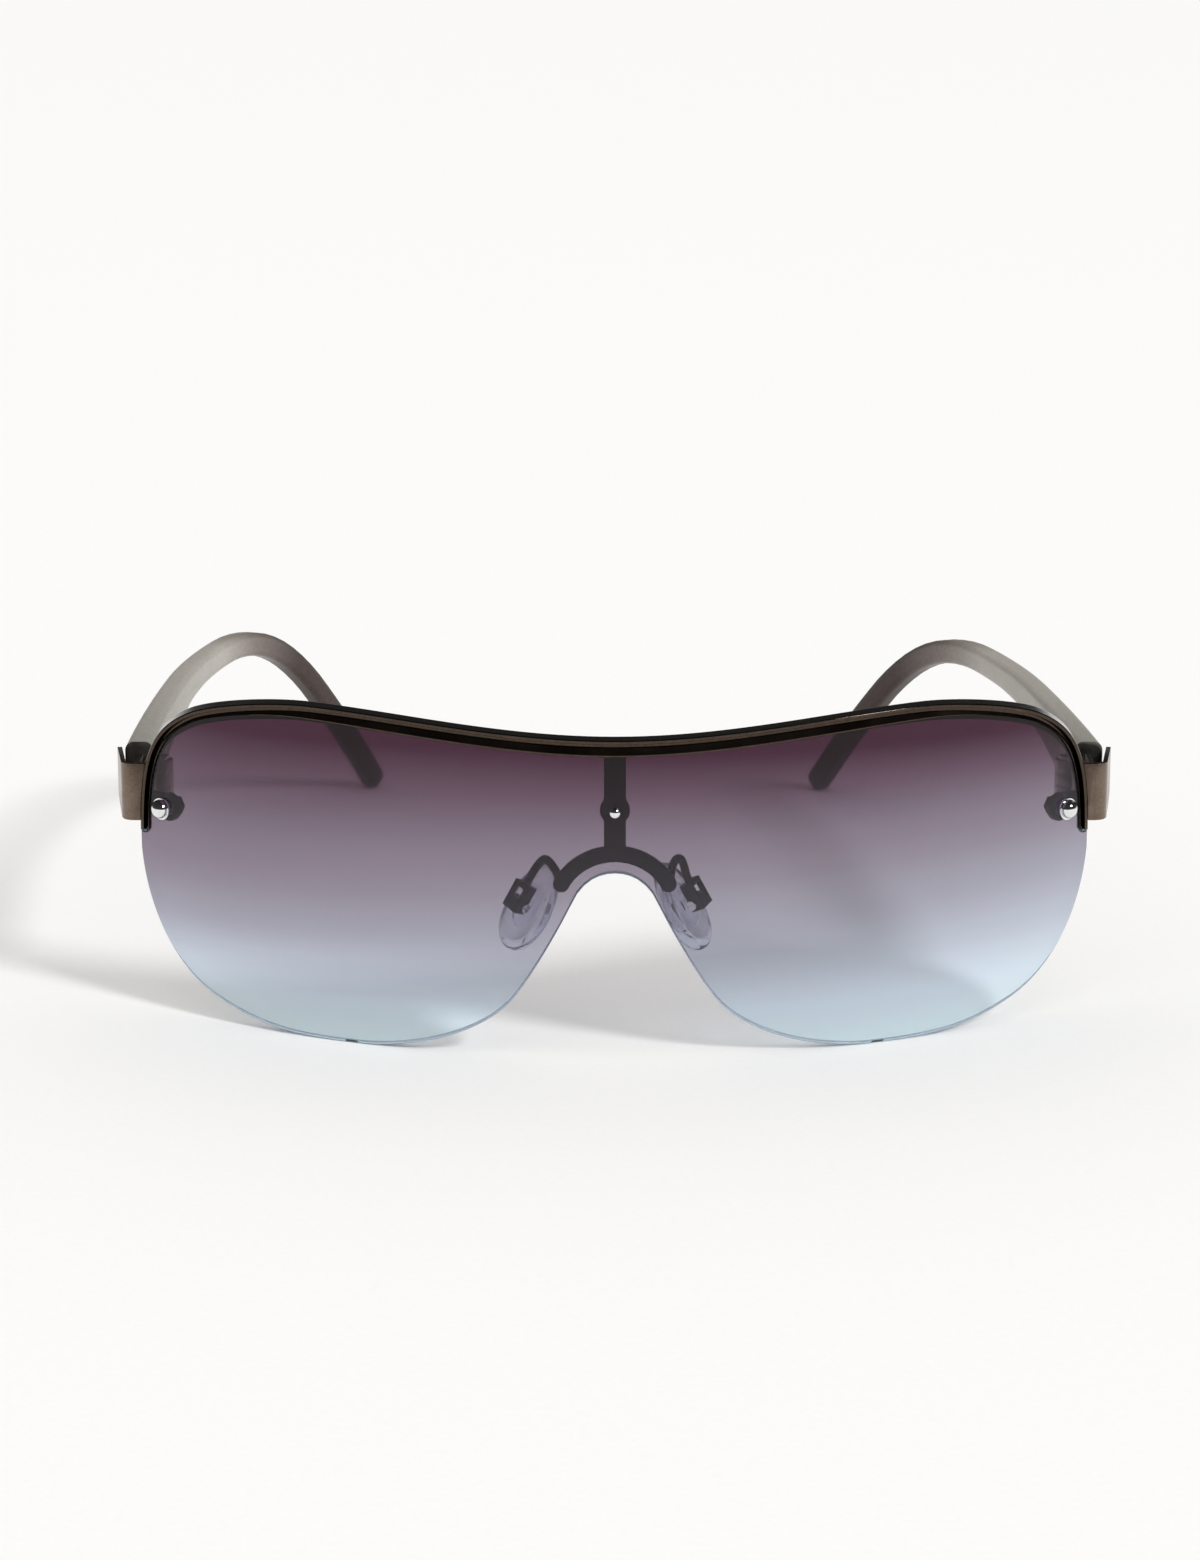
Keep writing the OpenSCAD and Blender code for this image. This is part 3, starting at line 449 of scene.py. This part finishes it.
def fine_grain():
    """Speckle and wiping marks that show on every hard finish. Puts out a speckle, a smear and a height."""
    group = bpy.data.node_groups.new("fine_grain", "ShaderNodeTree")
    group.interface.new_socket("Grain", in_out="INPUT", socket_type="NodeSocketFloat").default_value = 3000
    group.interface.new_socket("Smears", in_out="INPUT", socket_type="NodeSocketFloat").default_value = 120
    for output in ("Speckle", "Smear", "Height"):
        group.interface.new_socket(output, in_out="OUTPUT", socket_type="NodeSocketFloat")
    given = group.nodes.new("NodeGroupInput").outputs
    result = group.nodes.new("NodeGroupOutput").inputs
    grain = noise(group, given["Grain"], 2)
    smear = noise(group, given["Smears"], 5, 0.6)
    feed(group, ramp(group, grain, [(0.35, 0.0), (0.65, 1.0)]), result["Speckle"])
    feed(group, ramp(group, smear, [(0.35, 0.0), (0.7, 1.0)]), result["Smear"])
    feed(group, calculate(group, "MULTIPLY_ADD", smear, 0.4, grain), result["Height"])
    return group


wear_group, grain_group = edge_wear(), fine_grain()


def hard_finish(name, dark, light, worn, rough, metal, relief, grain=3000, smears=120, wear=0.5, coat=0.0):
    """A hard finish between two colours, with speckle, wiping marks, rubbed edges and a fine relief."""
    material, tree, inputs = new_material(name, Metallic=metal, Coat_Weight=coat, Coat_Roughness=0.06)
    detail = add(tree, "Group", node_tree=grain_group)
    detail.inputs["Grain"].default_value = grain
    detail.inputs["Smears"].default_value = smears
    rub = add(tree, "Group", node_tree=wear_group)
    rub.inputs["Strength"].default_value = wear
    tone = add(tree, "MixRGB", Color1=(*dark, 1), Color2=(*light, 1))
    tone.name = "tone"
    feed(tree, detail.outputs["Speckle"], tone.inputs["Fac"])
    edge_tone = add(tree, "MixRGB", Color2=(*worn, 1))
    feed(tree, rub.outputs["Wear"], edge_tone.inputs["Fac"])
    feed(tree, tone.outputs["Color"], edge_tone.inputs["Color1"])
    feed(tree, edge_tone.outputs["Color"], inputs["Base Color"])
    feed(tree, ramp(tree, detail.outputs["Smear"], [(0.0, rough[0]), (1.0, rough[1])]), inputs["Roughness"])
    bump = add(tree, "Bump", Strength=relief, Distance=0.00005)
    feed(tree, detail.outputs["Height"], bump.inputs["Height"])
    feed(tree, bump.outputs["Normal"], inputs["Normal"])
    return material


gunmetal = hard_finish("gunmetal_plating", (0.052, 0.038, 0.029), (0.074, 0.055, 0.043), (0.2, 0.165, 0.13),
                       (0.12, 0.22), 1.0, 0.1, wear=0.4)


def bar_section(reach, bead):
    """Points of (width, depth) round the bar: its crown and groove, its bead, and its flange."""
    lip = [(width, proud + depth) for width, depth in crown] + [(lip_w - groove_wall, groove_foot)]
    front = [(lip_w + share * bead, depth) for share, depth in bead_form]
    flange = [
        (lip_w, lens_back - 0.1), (lip_w + 0.1, lens_back), (reach - flange_corner, lens_back),
        (reach, lens_back + flange_corner), (reach, flange_back - flange_corner),
        (reach - flange_corner, flange_back), (flange_corner, flange_back), (0.03, flange_back - 0.03),
        (0.0, flange_back - flange_corner), (0.0, flange_back - 0.3)]
    return lip + front + flange


last = len(bar_edge) - 1
bar_rings = []
for hand in (-1, 1):
    run = []
    for i, point in enumerate(bar_edge):
        if hand > 0 and i == 0:
            continue
        behind = bar_edge[i - 1] if i else (-bar_edge[1][0], bar_edge[1][1])
        near = [behind, point, bar_edge[min(i + 1, last)]]
        section = bar_section(lip_w + lookup(i / last, flange_widths), lookup(i / last, bead_widths))
        ring = []
        for width, depth in section:
            x, z = inset(near, [0, width, 0])[1]
            ring.append(spot(hand * x, fall(x, depth), z))
        run.append(ring)
    bar_rings += reversed(run) if hand < 0 else run
bar = soften(loft("brow_strip", bar_rings), 50)


def round_edges(piece, width, angle=35, segments=3):
    """Bevels the edges sharper than the angle."""
    bevel = piece.modifiers.new("edges", "BEVEL")
    bevel.limit_method = "ANGLE"
    bevel.angle_limit = radians(angle)
    bevel.width = width * mm
    bevel.segments = segments
    bevel.use_clamp_overlap = True
    apply_last(piece)
    return piece


def join(name, pieces):
    clear_selection()
    for piece in pieces:
        piece.select_set(True)
    bpy.context.view_layer.objects.active = pieces[0]
    bpy.ops.object.join()
    pieces[0].name = pieces[0].data.name = name
    return pieces[0]


def washer(name, outer, inner, front, back, put, soft_edge=0.06):
    """A turned ring with softened edges."""
    return turned(name, [
        (inner, front), (outer - soft_edge, front), (outer, front + soft_edge), (outer, back - soft_edge),
        (outer - soft_edge, back), (inner, back), (inner, front)], put, close=True)


def block(low, high, put):
    """A cube stretched between two corners, with each of its points placed by put."""
    clear_selection()
    bpy.ops.mesh.primitive_cube_add(size=1)
    piece = bpy.context.object
    for vertex in piece.data.vertices:
        vertex.co = put([low[i] + (high[i] - low[i]) * (vertex.co[i] + 0.5) for i in range(3)])
    return piece


extras = []
for hand in (-1, 1):
    put = partial(on_lens, hand * stud_angle, stud_z)
    extras.append(washer("eye", eye_r, eye_hole_r, lens_back, flange_back, put))
    near, far = sorted((hand * tab_from, hand * tab_to))
    tab = block((near, lens_back, tab_low), (far, flange_back, tab_high), put)
    extras.append(round_edges(tab, 0.1))
    foot = [(half_w - foot_in + foot_r * cos(radians(a)), bar_end + foot_r * sin(radians(a)))
            for a in range(0, -181, -15)] + [(half_w - x, bar_end + foot_up) for x in foot_top]
    extras.append(loft("foot", [[spot(hand * x, fall(x, depth), z) for x, z in foot]
                                for depth in (lens_back, flange_back)]))
bar = join("brow_strip", [bar] + [soften(round_edges(piece, 0.06, 60, 2), 40) for piece in extras])
dress(bar, gunmetal)
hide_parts("brow_bar")
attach(bar, "front")

# The end pieces are pressed from 0.7 mm sheet, folded round the hinge at each corner and
# brazed to the bar's side. The plating is like the bar's, with painted shade that darkens it towards the
# bar's side.
seam_shade_from, seam_shade_run = 68.4, 5.2


def refined(node, name, width, segments=3, angle=30):
    """A copy of a machined piece with its loose triangles joined and its edges broken."""
    pick(frame["nodes"][node])
    bpy.ops.object.duplicate()
    piece = bpy.context.object
    piece.parent = None
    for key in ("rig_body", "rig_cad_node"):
        if key in piece:
            del piece[key]
    piece.name = piece.data.name = name
    bpy.ops.mesh.customdata_custom_splitnormals_clear()
    bpy.ops.object.mode_set(mode="EDIT")
    bpy.ops.mesh.select_all(action="SELECT")
    bpy.ops.mesh.remove_doubles(threshold=1e-6)
    bpy.ops.mesh.dissolve_limited(angle_limit=radians(0.5))
    bpy.ops.object.mode_set(mode="OBJECT")
    return soften(round_edges(piece, width, angle, segments), 38)


brushed = hard_finish("brushed_gunmetal", (0.165, 0.122, 0.096), (0.21, 0.157, 0.125), (0.4, 0.33, 0.28),
                      (0.2, 0.32), 1.0, 0.12, wear=0.5)
tree = brushed.node_tree
base = tree.nodes["Principled BSDF"].inputs["Base Color"]
# Painted shade: the plating darkens over the last few millimetres towards the bar's side.
seam_shade = add(tree, "MixRGB", blend_type="MULTIPLY", Fac=1)
feed(tree, base.links[0].from_socket, seam_shade.inputs["Color1"])
share = calculate(tree, "MULTIPLY_ADD", calculate(tree, "ABSOLUTE", position(tree, "X")),
                  1 / (seam_shade_run * mm), -seam_shade_from / seam_shade_run)
feed(tree, ramp(tree, share, [(0.02, (0.4, 0.37, 0.36)), (0.4, (0.8, 0.77, 0.75)), (0.65, 1.0)]),
     seam_shade.inputs["Color2"])
feed(tree, seam_shade.outputs["Color"], base)
for side in ("left", "right"):
    corner = dress(refined("end_piece_" + side, "folded_corner_" + side, 0.1), brushed)
    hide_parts("end_piece_" + side)
    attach(corner, "front")

# The bridge bracket is a stamped steel strap with an eye and a nose arch, blackened, and
# riveted behind the lens. It carries both pad arms.
black_metal = hard_finish("blackened_steel", (0.012, 0.011, 0.013), (0.02, 0.018, 0.02), (0.1, 0.095, 0.09),
                          (0.28, 0.42), 0.7, 0.25, grain=2200, wear=0.25)
bracket = dress(refined("bridge_bracket", "nose_strap", 0.12), black_metal)
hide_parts("bridge_bracket")
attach(bracket, "front")

# Side screws, their washers and the bridge rivet are turned steel, polished and chromed. A screw
# goes through washer, sleeve, lens and bar into its nut, and the rivet holds the bridge bracket.
head_r, head_h, head_foot, shank_r, shank_end = 1.4, 1.19, -0.45, 0.7, 3.85
head_under, head_back = 1.36, -0.43
ring_r, ring_hole_r, ring_front, ring_back = 1.65, 0.75, -0.4, -0.05
pin_head_r, pin_head_h, pin_r, pin_end = 0.8, 0.55, 0.5, 3.2
pin_foot, pin_under = -0.05, -0.04
chrome = hard_finish("bright_chrome", (0.76, 0.76, 0.78), (0.84, 0.84, 0.85), (0.95, 0.95, 0.95),
                     (0.05, 0.12), 1.0, 0.04, wear=0.2)


def dome(r, h, foot, angles):
    """The profile of a domed head from its pole to its rim."""
    return [(r * cos(radians(a)), foot - h * sin(radians(a))) for a in angles]


for side, hand in (("left", -1), ("right", 1)):
    put = partial(on_lens, hand * stud_angle, stud_z)
    profile = dome(head_r, head_h, head_foot, (86, 75, 62, 50, 38, 27, 17, 8, 0))
    profile += [(head_under, head_back), (shank_r, head_back), (shank_r, shank_end)]
    screw = turned("side_screw_" + side, profile, put, 48)
    dress(soften(screw, 40), chrome)
    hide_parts("side_stud_" + side)
    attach(screw, "front")
    ring = washer("screw_ring_" + side, ring_r, ring_hole_r, ring_front, ring_back, put)
    dress(soften(ring, 40), chrome)
    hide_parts("stud_washer_" + side)
    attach(ring, "front")
profile = dome(pin_head_r, pin_head_h, pin_foot, (86, 72, 58, 44, 30, 18, 8, 0))
profile += [(pin_r, pin_under), (pin_r, pin_end)]
rivet = turned("bridge_pin", profile, partial(on_lens, 0, rivet_z))
dress(soften(rivet, 40), chrome)
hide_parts("bridge_rivet")
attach(rivet, "front")

# Each pad arm is a bent 1.2 mm wire, brazed to the arch and into the pad box.
# The boxes are folded steel clips, open on the pad's side, with a cross screw.
pad_spread, pad_depth, pad_lean, pad_splay = 24, 9, 28, 46
right_pad_in, right_pad_turn = 2.4, 14
pad_z_share = 0.408
wire_r, arch_r, arch_half, arch_top_share = 0.6, 8.6, 61, 0.601
wire_out, wire_up, wire_back, wire_reach = 0.3, 0.54, 1.0, 1.2
box_mid, box_mid_z, box_top = 3.2, 1.12, 2.15
crest_share, crest_rise, handle_share = (0.42, 0.72), 2.2, 0.35


def pad_frame(hand):
    """Place, and the way out of the back, across and up, of a nose pad on the right or left."""
    splay = radians(pad_splay - (right_pad_turn if hand > 0 else 0))
    turn = Matrix.Rotation(radians(-pad_lean), 3, "Y") @ Matrix.Rotation(-splay, 3, "Z")
    x = pad_spread / 2 - (right_pad_in if hand > 0 else 0)
    return Vector((x, pad_depth, pad_z_share * front_h)), turn


arch_end = (arch_r * sin(radians(arch_half)),
            arch_top_share * front_h - arch_r + arch_r * cos(radians(arch_half)))
for side, hand in (("left", -1), ("right", 1)):
    place, turn = pad_frame(hand)
    start = Vector((arch_end[0] + wire_out, fall(arch_end[0] + wire_reach) + lens_t + wire_back,
                    arch_end[1] + wire_up))
    up = turn @ Vector((0, 0, 1))
    finish = place + turn @ Vector((box_mid, 0, 0)) + up * (box_mid_z + box_top)
    span = finish - start
    crest = start + Vector((span.x * crest_share[0], span.y * crest_share[1], crest_rise))
    handle = span.y * handle_share
    slant = Vector((handle * 0.6, handle / 2, 0))
    clear_selection()
    bpy.ops.curve.primitive_bezier_curve_add()
    wire = bpy.context.object
    wire.name = "arm_wire_" + side
    bpy.ops.object.mode_set(mode="EDIT")
    bpy.ops.curve.select_all(action="SELECT")
    bpy.ops.curve.subdivide()
    bpy.ops.object.mode_set(mode="OBJECT")
    knots = [(start, start, start + Vector((0, handle * 1.2, 0))),
             (crest, crest - slant, crest + slant),
             (finish, finish + up * handle, finish)]
    for point, knot in zip(wire.data.splines[0].bezier_points, knots):
        point.handle_left_type = point.handle_right_type = "FREE"
        point.co, point.handle_left, point.handle_right = (spot(hand * p.x, p.y, p.z) for p in knot)
    wire.data.dimensions = "3D"
    wire.data.resolution_u = 14
    wire.data.bevel_depth = wire_r * mm
    wire.data.bevel_resolution = 5
    wire.data.use_fill_caps = True
    bpy.ops.object.convert(target="MESH")
    wire = bpy.context.object
    wire.data.name = wire.name
    dress(soften(wire, 40), black_metal)
    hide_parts("pad_arm_" + side)
    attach(wire, "front")
    clip = dress(refined("pad_box_" + side, "pad_clip_" + side, 0.12), black_metal)
    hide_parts("pad_box_" + side)
    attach(clip, "front")

# Nose pads: soft clear silicone, moulded round a stiff plate that the box's screw holds, with a
# raised rim round the back and a full belly on the side of the nose. They are a little egg-shaped.
pad_w, pad_l, egg, pad_steps = 7.6, 14, 0.075, 48
pad_form = [
    (-1.3, 0.3), (-1.3, 0.72), (-1.27, 0.78), (-1.15, 0.86), (-0.85, 0.94), (-0.45, 0.985), (0.0, 1.0),
    (0.45, 0.985), (0.8, 0.94), (1.05, 0.87), (1.13, 0.82), (1.13, 0.79), (1.0, 0.76), (0.85, 0.72),
    (0.85, 0.3)]
silicone, tree, inputs = new_material("clear_silicone", Transmission_Weight=1, IOR=1.41)
haze = noise(tree, 350, 3)
feed(tree, ramp(tree, haze, [(0.3, (0.76, 0.77, 0.82)), (0.7, (0.84, 0.85, 0.88))]), inputs["Base Color"])
feed(tree, ramp(tree, haze, [(0.3, 0.04), (0.7, 0.12)]), inputs["Roughness"])
for side, hand in (("left", -1), ("right", 1)):
    place, turn = pad_frame(hand)
    rings = []
    for depth, share in pad_form:
        ring = []
        for a in (2 * pi * k / pad_steps for k in range(pad_steps)):
            up = pad_l / 2 * share * sin(a) - pad_l * egg * cos(a) ** 2 * share
            moved = place + turn @ Vector((depth, pad_w / 2 * share * cos(a), up))
            ring.append(spot(hand * moved.x, moved.y, moved.z))
        rings.append(ring)
    pad = dress(soften(loft("soft_pad_" + side, rings), 60), silicone)
    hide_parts("nose_pad_" + side)
    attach(pad, "pad_" + side)

# The temples are moulded in one piece from tinted nylon, satin, grey-brown in front and nearly black
# behind the ear; the front end face is painted near-black shade, and the light front is partly painted
# sheen. They are high at the hinge and slender over the ear, with a seat on the inside for the hinge's plate.
temple_h, temple_t, ear_angle, wrap_angle, temple_cant = 10, 4.1, 52, 34, 0.9
corner_share, tip_share, right_turn, arm_steps = 0.3, 0.45, 2.7, 40
front_bevel, front_share = 0.25, 0.86
pin_inset, pin_setback, hinge_z_share = 2.9, 8.9, 0.6545
hinge_h, knuckle_r, plate_t, plate_l, seat_reach = 5.8, 1.6, 0.9, 14, 1
tone_from, tone_run = -43.55, 124.07
wrap_rows = [(0, 0.015), (0.314, 0.103), (0.5, 0.353), (0.643, 0.618), (0.771, 0.824), (1, 1)]
drop_rows = [(0, 0.007), (0.53, 0.02), (0.63, 0.23), (0.73, 0.6), (0.81, 0.83), (1, 1)]
height_rows = [(0, 1), (0.107, 0.9), (0.214, 0.66), (0.321, 0.5), (0.429, 0.43), (0.607, 0.39), (1, 0.38)]
thick_rows = [(0, 1), (0.214, 0.976), (0.429, 0.927), (0.643, 0.878), (1, 0.829)]
pin = Vector((half_w - pin_inset, fall(half_w) + pin_setback, 0))
end_z = hinge_z_share * front_h
temple_in, temple_front = knuckle_r * 1.22, knuckle_r * 0.625
plate_x = temple_in - plate_t * 0.7
tip_h, tip_round = temple_h * height_rows[-1][1], temple_t * tip_share


def yaw(share):
    """Turn of the temple's line towards the head, at a share of its length."""
    return radians(wrap_angle * lookup(share, wrap_rows))


def drop(hand, share):
    """Slope of the temple's line down over the ear."""
    return radians(ear_angle * lookup(share, drop_rows) + hand * temple_cant * (1 - 2 * share))


def heading(hand, share):
    return Vector((-sin(yaw(share)) * cos(drop(hand, share)), cos(yaw(share)) * cos(drop(hand, share)),
                   -sin(drop(hand, share))))


def box_section(wide, high, corner_r):
    """A rounded box section that hangs below its top face."""
    points = []
    for sx, sz, start in ((-1, -1, 180), (1, -1, 270), (1, 1, 0), (-1, 1, 90)):
        for k in range(7):
            a = radians(start + 15 * k)
            points.append((sx * (wide / 2 - corner_r) + corner_r * cos(a),
                           sz * (high / 2 - corner_r) + corner_r * sin(a) - high / 2))
    return points


def stand(hand, rest, point):
    """A point of the unturned right temple, turned on its hinge screw to rest and put on its side."""
    moved = Matrix.Rotation(radians(rest), 3, "Z") @ (Vector(point) - pin) + pin
    return spot(hand * moved.x, moved.y, moved.z)


def arm_ring(hand, rest, at, share, shrink):
    """One section of the temple, hung from a point of its line."""
    across = Vector((cos(yaw(share)), sin(yaw(share)), 0))
    up = across.cross(heading(hand, share))
    high, wide = temple_h * lookup(share, height_rows), temple_t * lookup(share, thick_rows)
    return [stand(hand, rest, at + across * (p[0] * shrink) + up * ((p[1] + high / 2) * shrink - high / 2))
            for p in box_section(wide, high, wide * corner_share)]


nylon = hard_finish("moulded_nylon", (0.05, 0.04, 0.036), (0.075, 0.062, 0.056), (0.3, 0.28, 0.25),
                    (0.3, 0.42), 0.0, 0.35, grain=1500, smears=60, wear=0.25, coat=0.05)
tree = nylon.node_tree
tree.nodes["Principled BSDF"].inputs["Specular IOR Level"].default_value = 0.15
share = calculate(tree, "MULTIPLY_ADD", position(tree, "Y"), 1 / (tone_run * mm), -tone_from / tone_run)
# Along the temple: a near-black band at the very front is painted shade, the light front is partly painted
# sheen, and behind the ear the nylon is nearly black.
for socket, tones in (
        ("Color1", [(0.008, (0.006, 0.005, 0.005)), (0.012, (0.28, 0.265, 0.24)),
                    (0.3, (0.36, 0.34, 0.305)), (0.56, (0.38, 0.355, 0.32)),
                    (0.68, (0.165, 0.135, 0.12)), (0.8, (0.04, 0.025, 0.022))]),
        ("Color2", [(0.008, (0.009, 0.008, 0.007)), (0.012, (0.315, 0.3, 0.27)),
                    (0.3, (0.4, 0.38, 0.345)), (0.56, (0.43, 0.405, 0.365)),
                    (0.68, (0.195, 0.16, 0.145)), (0.8, (0.052, 0.034, 0.03))])):
    feed(tree, ramp(tree, share, tones), tree.nodes["tone"].inputs[socket])
for side, hand, rest in (("left", -1, 0), ("right", 1, right_turn)):
    tip_lean = drop(hand, 1)
    tip_level = tip_h / 2 * cos(tip_lean)
    tip_depth = tip_level + Vector((tip_round * sin(tip_lean), tip_level)).length
    slope = sum(sin(drop(hand, (i + 0.5) / arm_steps)) for i in range(arm_steps)) / arm_steps
    step = (end_z + temple_h / 2 - tip_depth) / slope / arm_steps
    at = Vector((pin.x + temple_in + temple_t / 2, pin.y + temple_front, end_z + temple_h / 2))
    rings = [arm_ring(hand, rest, at, 0, front_share),
             arm_ring(hand, rest, at + front_bevel * heading(hand, 0), 0, 1)]
    for i in range(arm_steps):
        at = at + heading(hand, (i + 0.5) / arm_steps) * step
        rings.append(arm_ring(hand, rest, at, (i + 1) / arm_steps, 1))
    for a in (20, 38, 54, 68, 79, 86):
        end = at + heading(hand, 1) * (tip_round * sin(radians(a)))
        rings.append(arm_ring(hand, rest, end, 1, cos(radians(a))))
    arm = loft("moulded_temple_" + side, rings)
    seat_half = hinge_h / 2 + seat_gap
    low = (pin.x + plate_x - seat_reach, pin.y, end_z - seat_half)
    high = (pin.x + plate_x + plate_t + seat_gap, pin.y + plate_l + seat_gap, end_z + seat_half)
    seat = block(low, high, partial(stand, hand, rest))
    pick(seat)
    bpy.ops.object.mode_set(mode="EDIT")
    bpy.ops.mesh.select_all(action="SELECT")
    bpy.ops.mesh.normals_make_consistent(inside=False)
    bpy.ops.object.mode_set(mode="OBJECT")
    cut(arm, seat)
    dress(soften(arm, 50), nylon)
    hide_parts("temple_" + side)
    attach(arm, "temple_" + side)

# Hinges are milled from bare nickel silver and turn on slotted steel screws. Two rivets
# hold each rear leaf in its seat on the temple.
nickel = hard_finish("nickel_silver", (0.52, 0.49, 0.43), (0.6, 0.57, 0.51), (0.72, 0.69, 0.62),
                     (0.34, 0.46), 1.0, 0.15, wear=0.6)
for side in ("left", "right"):
    for node, name, body in (("front_hinge_", "hinge_front_", "front"),
                             ("rear_hinge_", "hinge_leaf_", "temple_" + side)):
        leaf = dress(refined(node + side, name + side, 0.1), nickel)
        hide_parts(node + side)
        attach(leaf, body)

# Small bought parts keep their machined shape: nuts, hinge screws, pad screws, rivets, the bridge
# washer, and the clear sleeves in the lens and plates in the pads.
clear_plastic, tree, inputs = new_material("clear_polycarbonate", Transmission_Weight=1, IOR=1.12)
flow = noise(tree, 500, 2)
feed(tree, ramp(tree, flow, [(0.3, (0.8, 0.82, 0.9)), (0.7, (0.9, 0.9, 0.95))]), inputs["Base Color"])
feed(tree, ramp(tree, flow, [(0.3, 0.05), (0.7, 0.1)]), inputs["Roughness"])
for side in ("left", "right"):
    for node in ("hinge_screw_", "hinge_rivets_", "pad_screw_"):
        dress(frame["nodes"][node + side], chrome)
    dress(frame["nodes"]["stud_nut_" + side], black_metal)
    for node in ("lens_sleeve_", "pad_insert_"):
        dress(frame["nodes"][node + side], clear_plastic)
dress(frame["nodes"]["bridge_washer"], black_metal)

clear_selection()
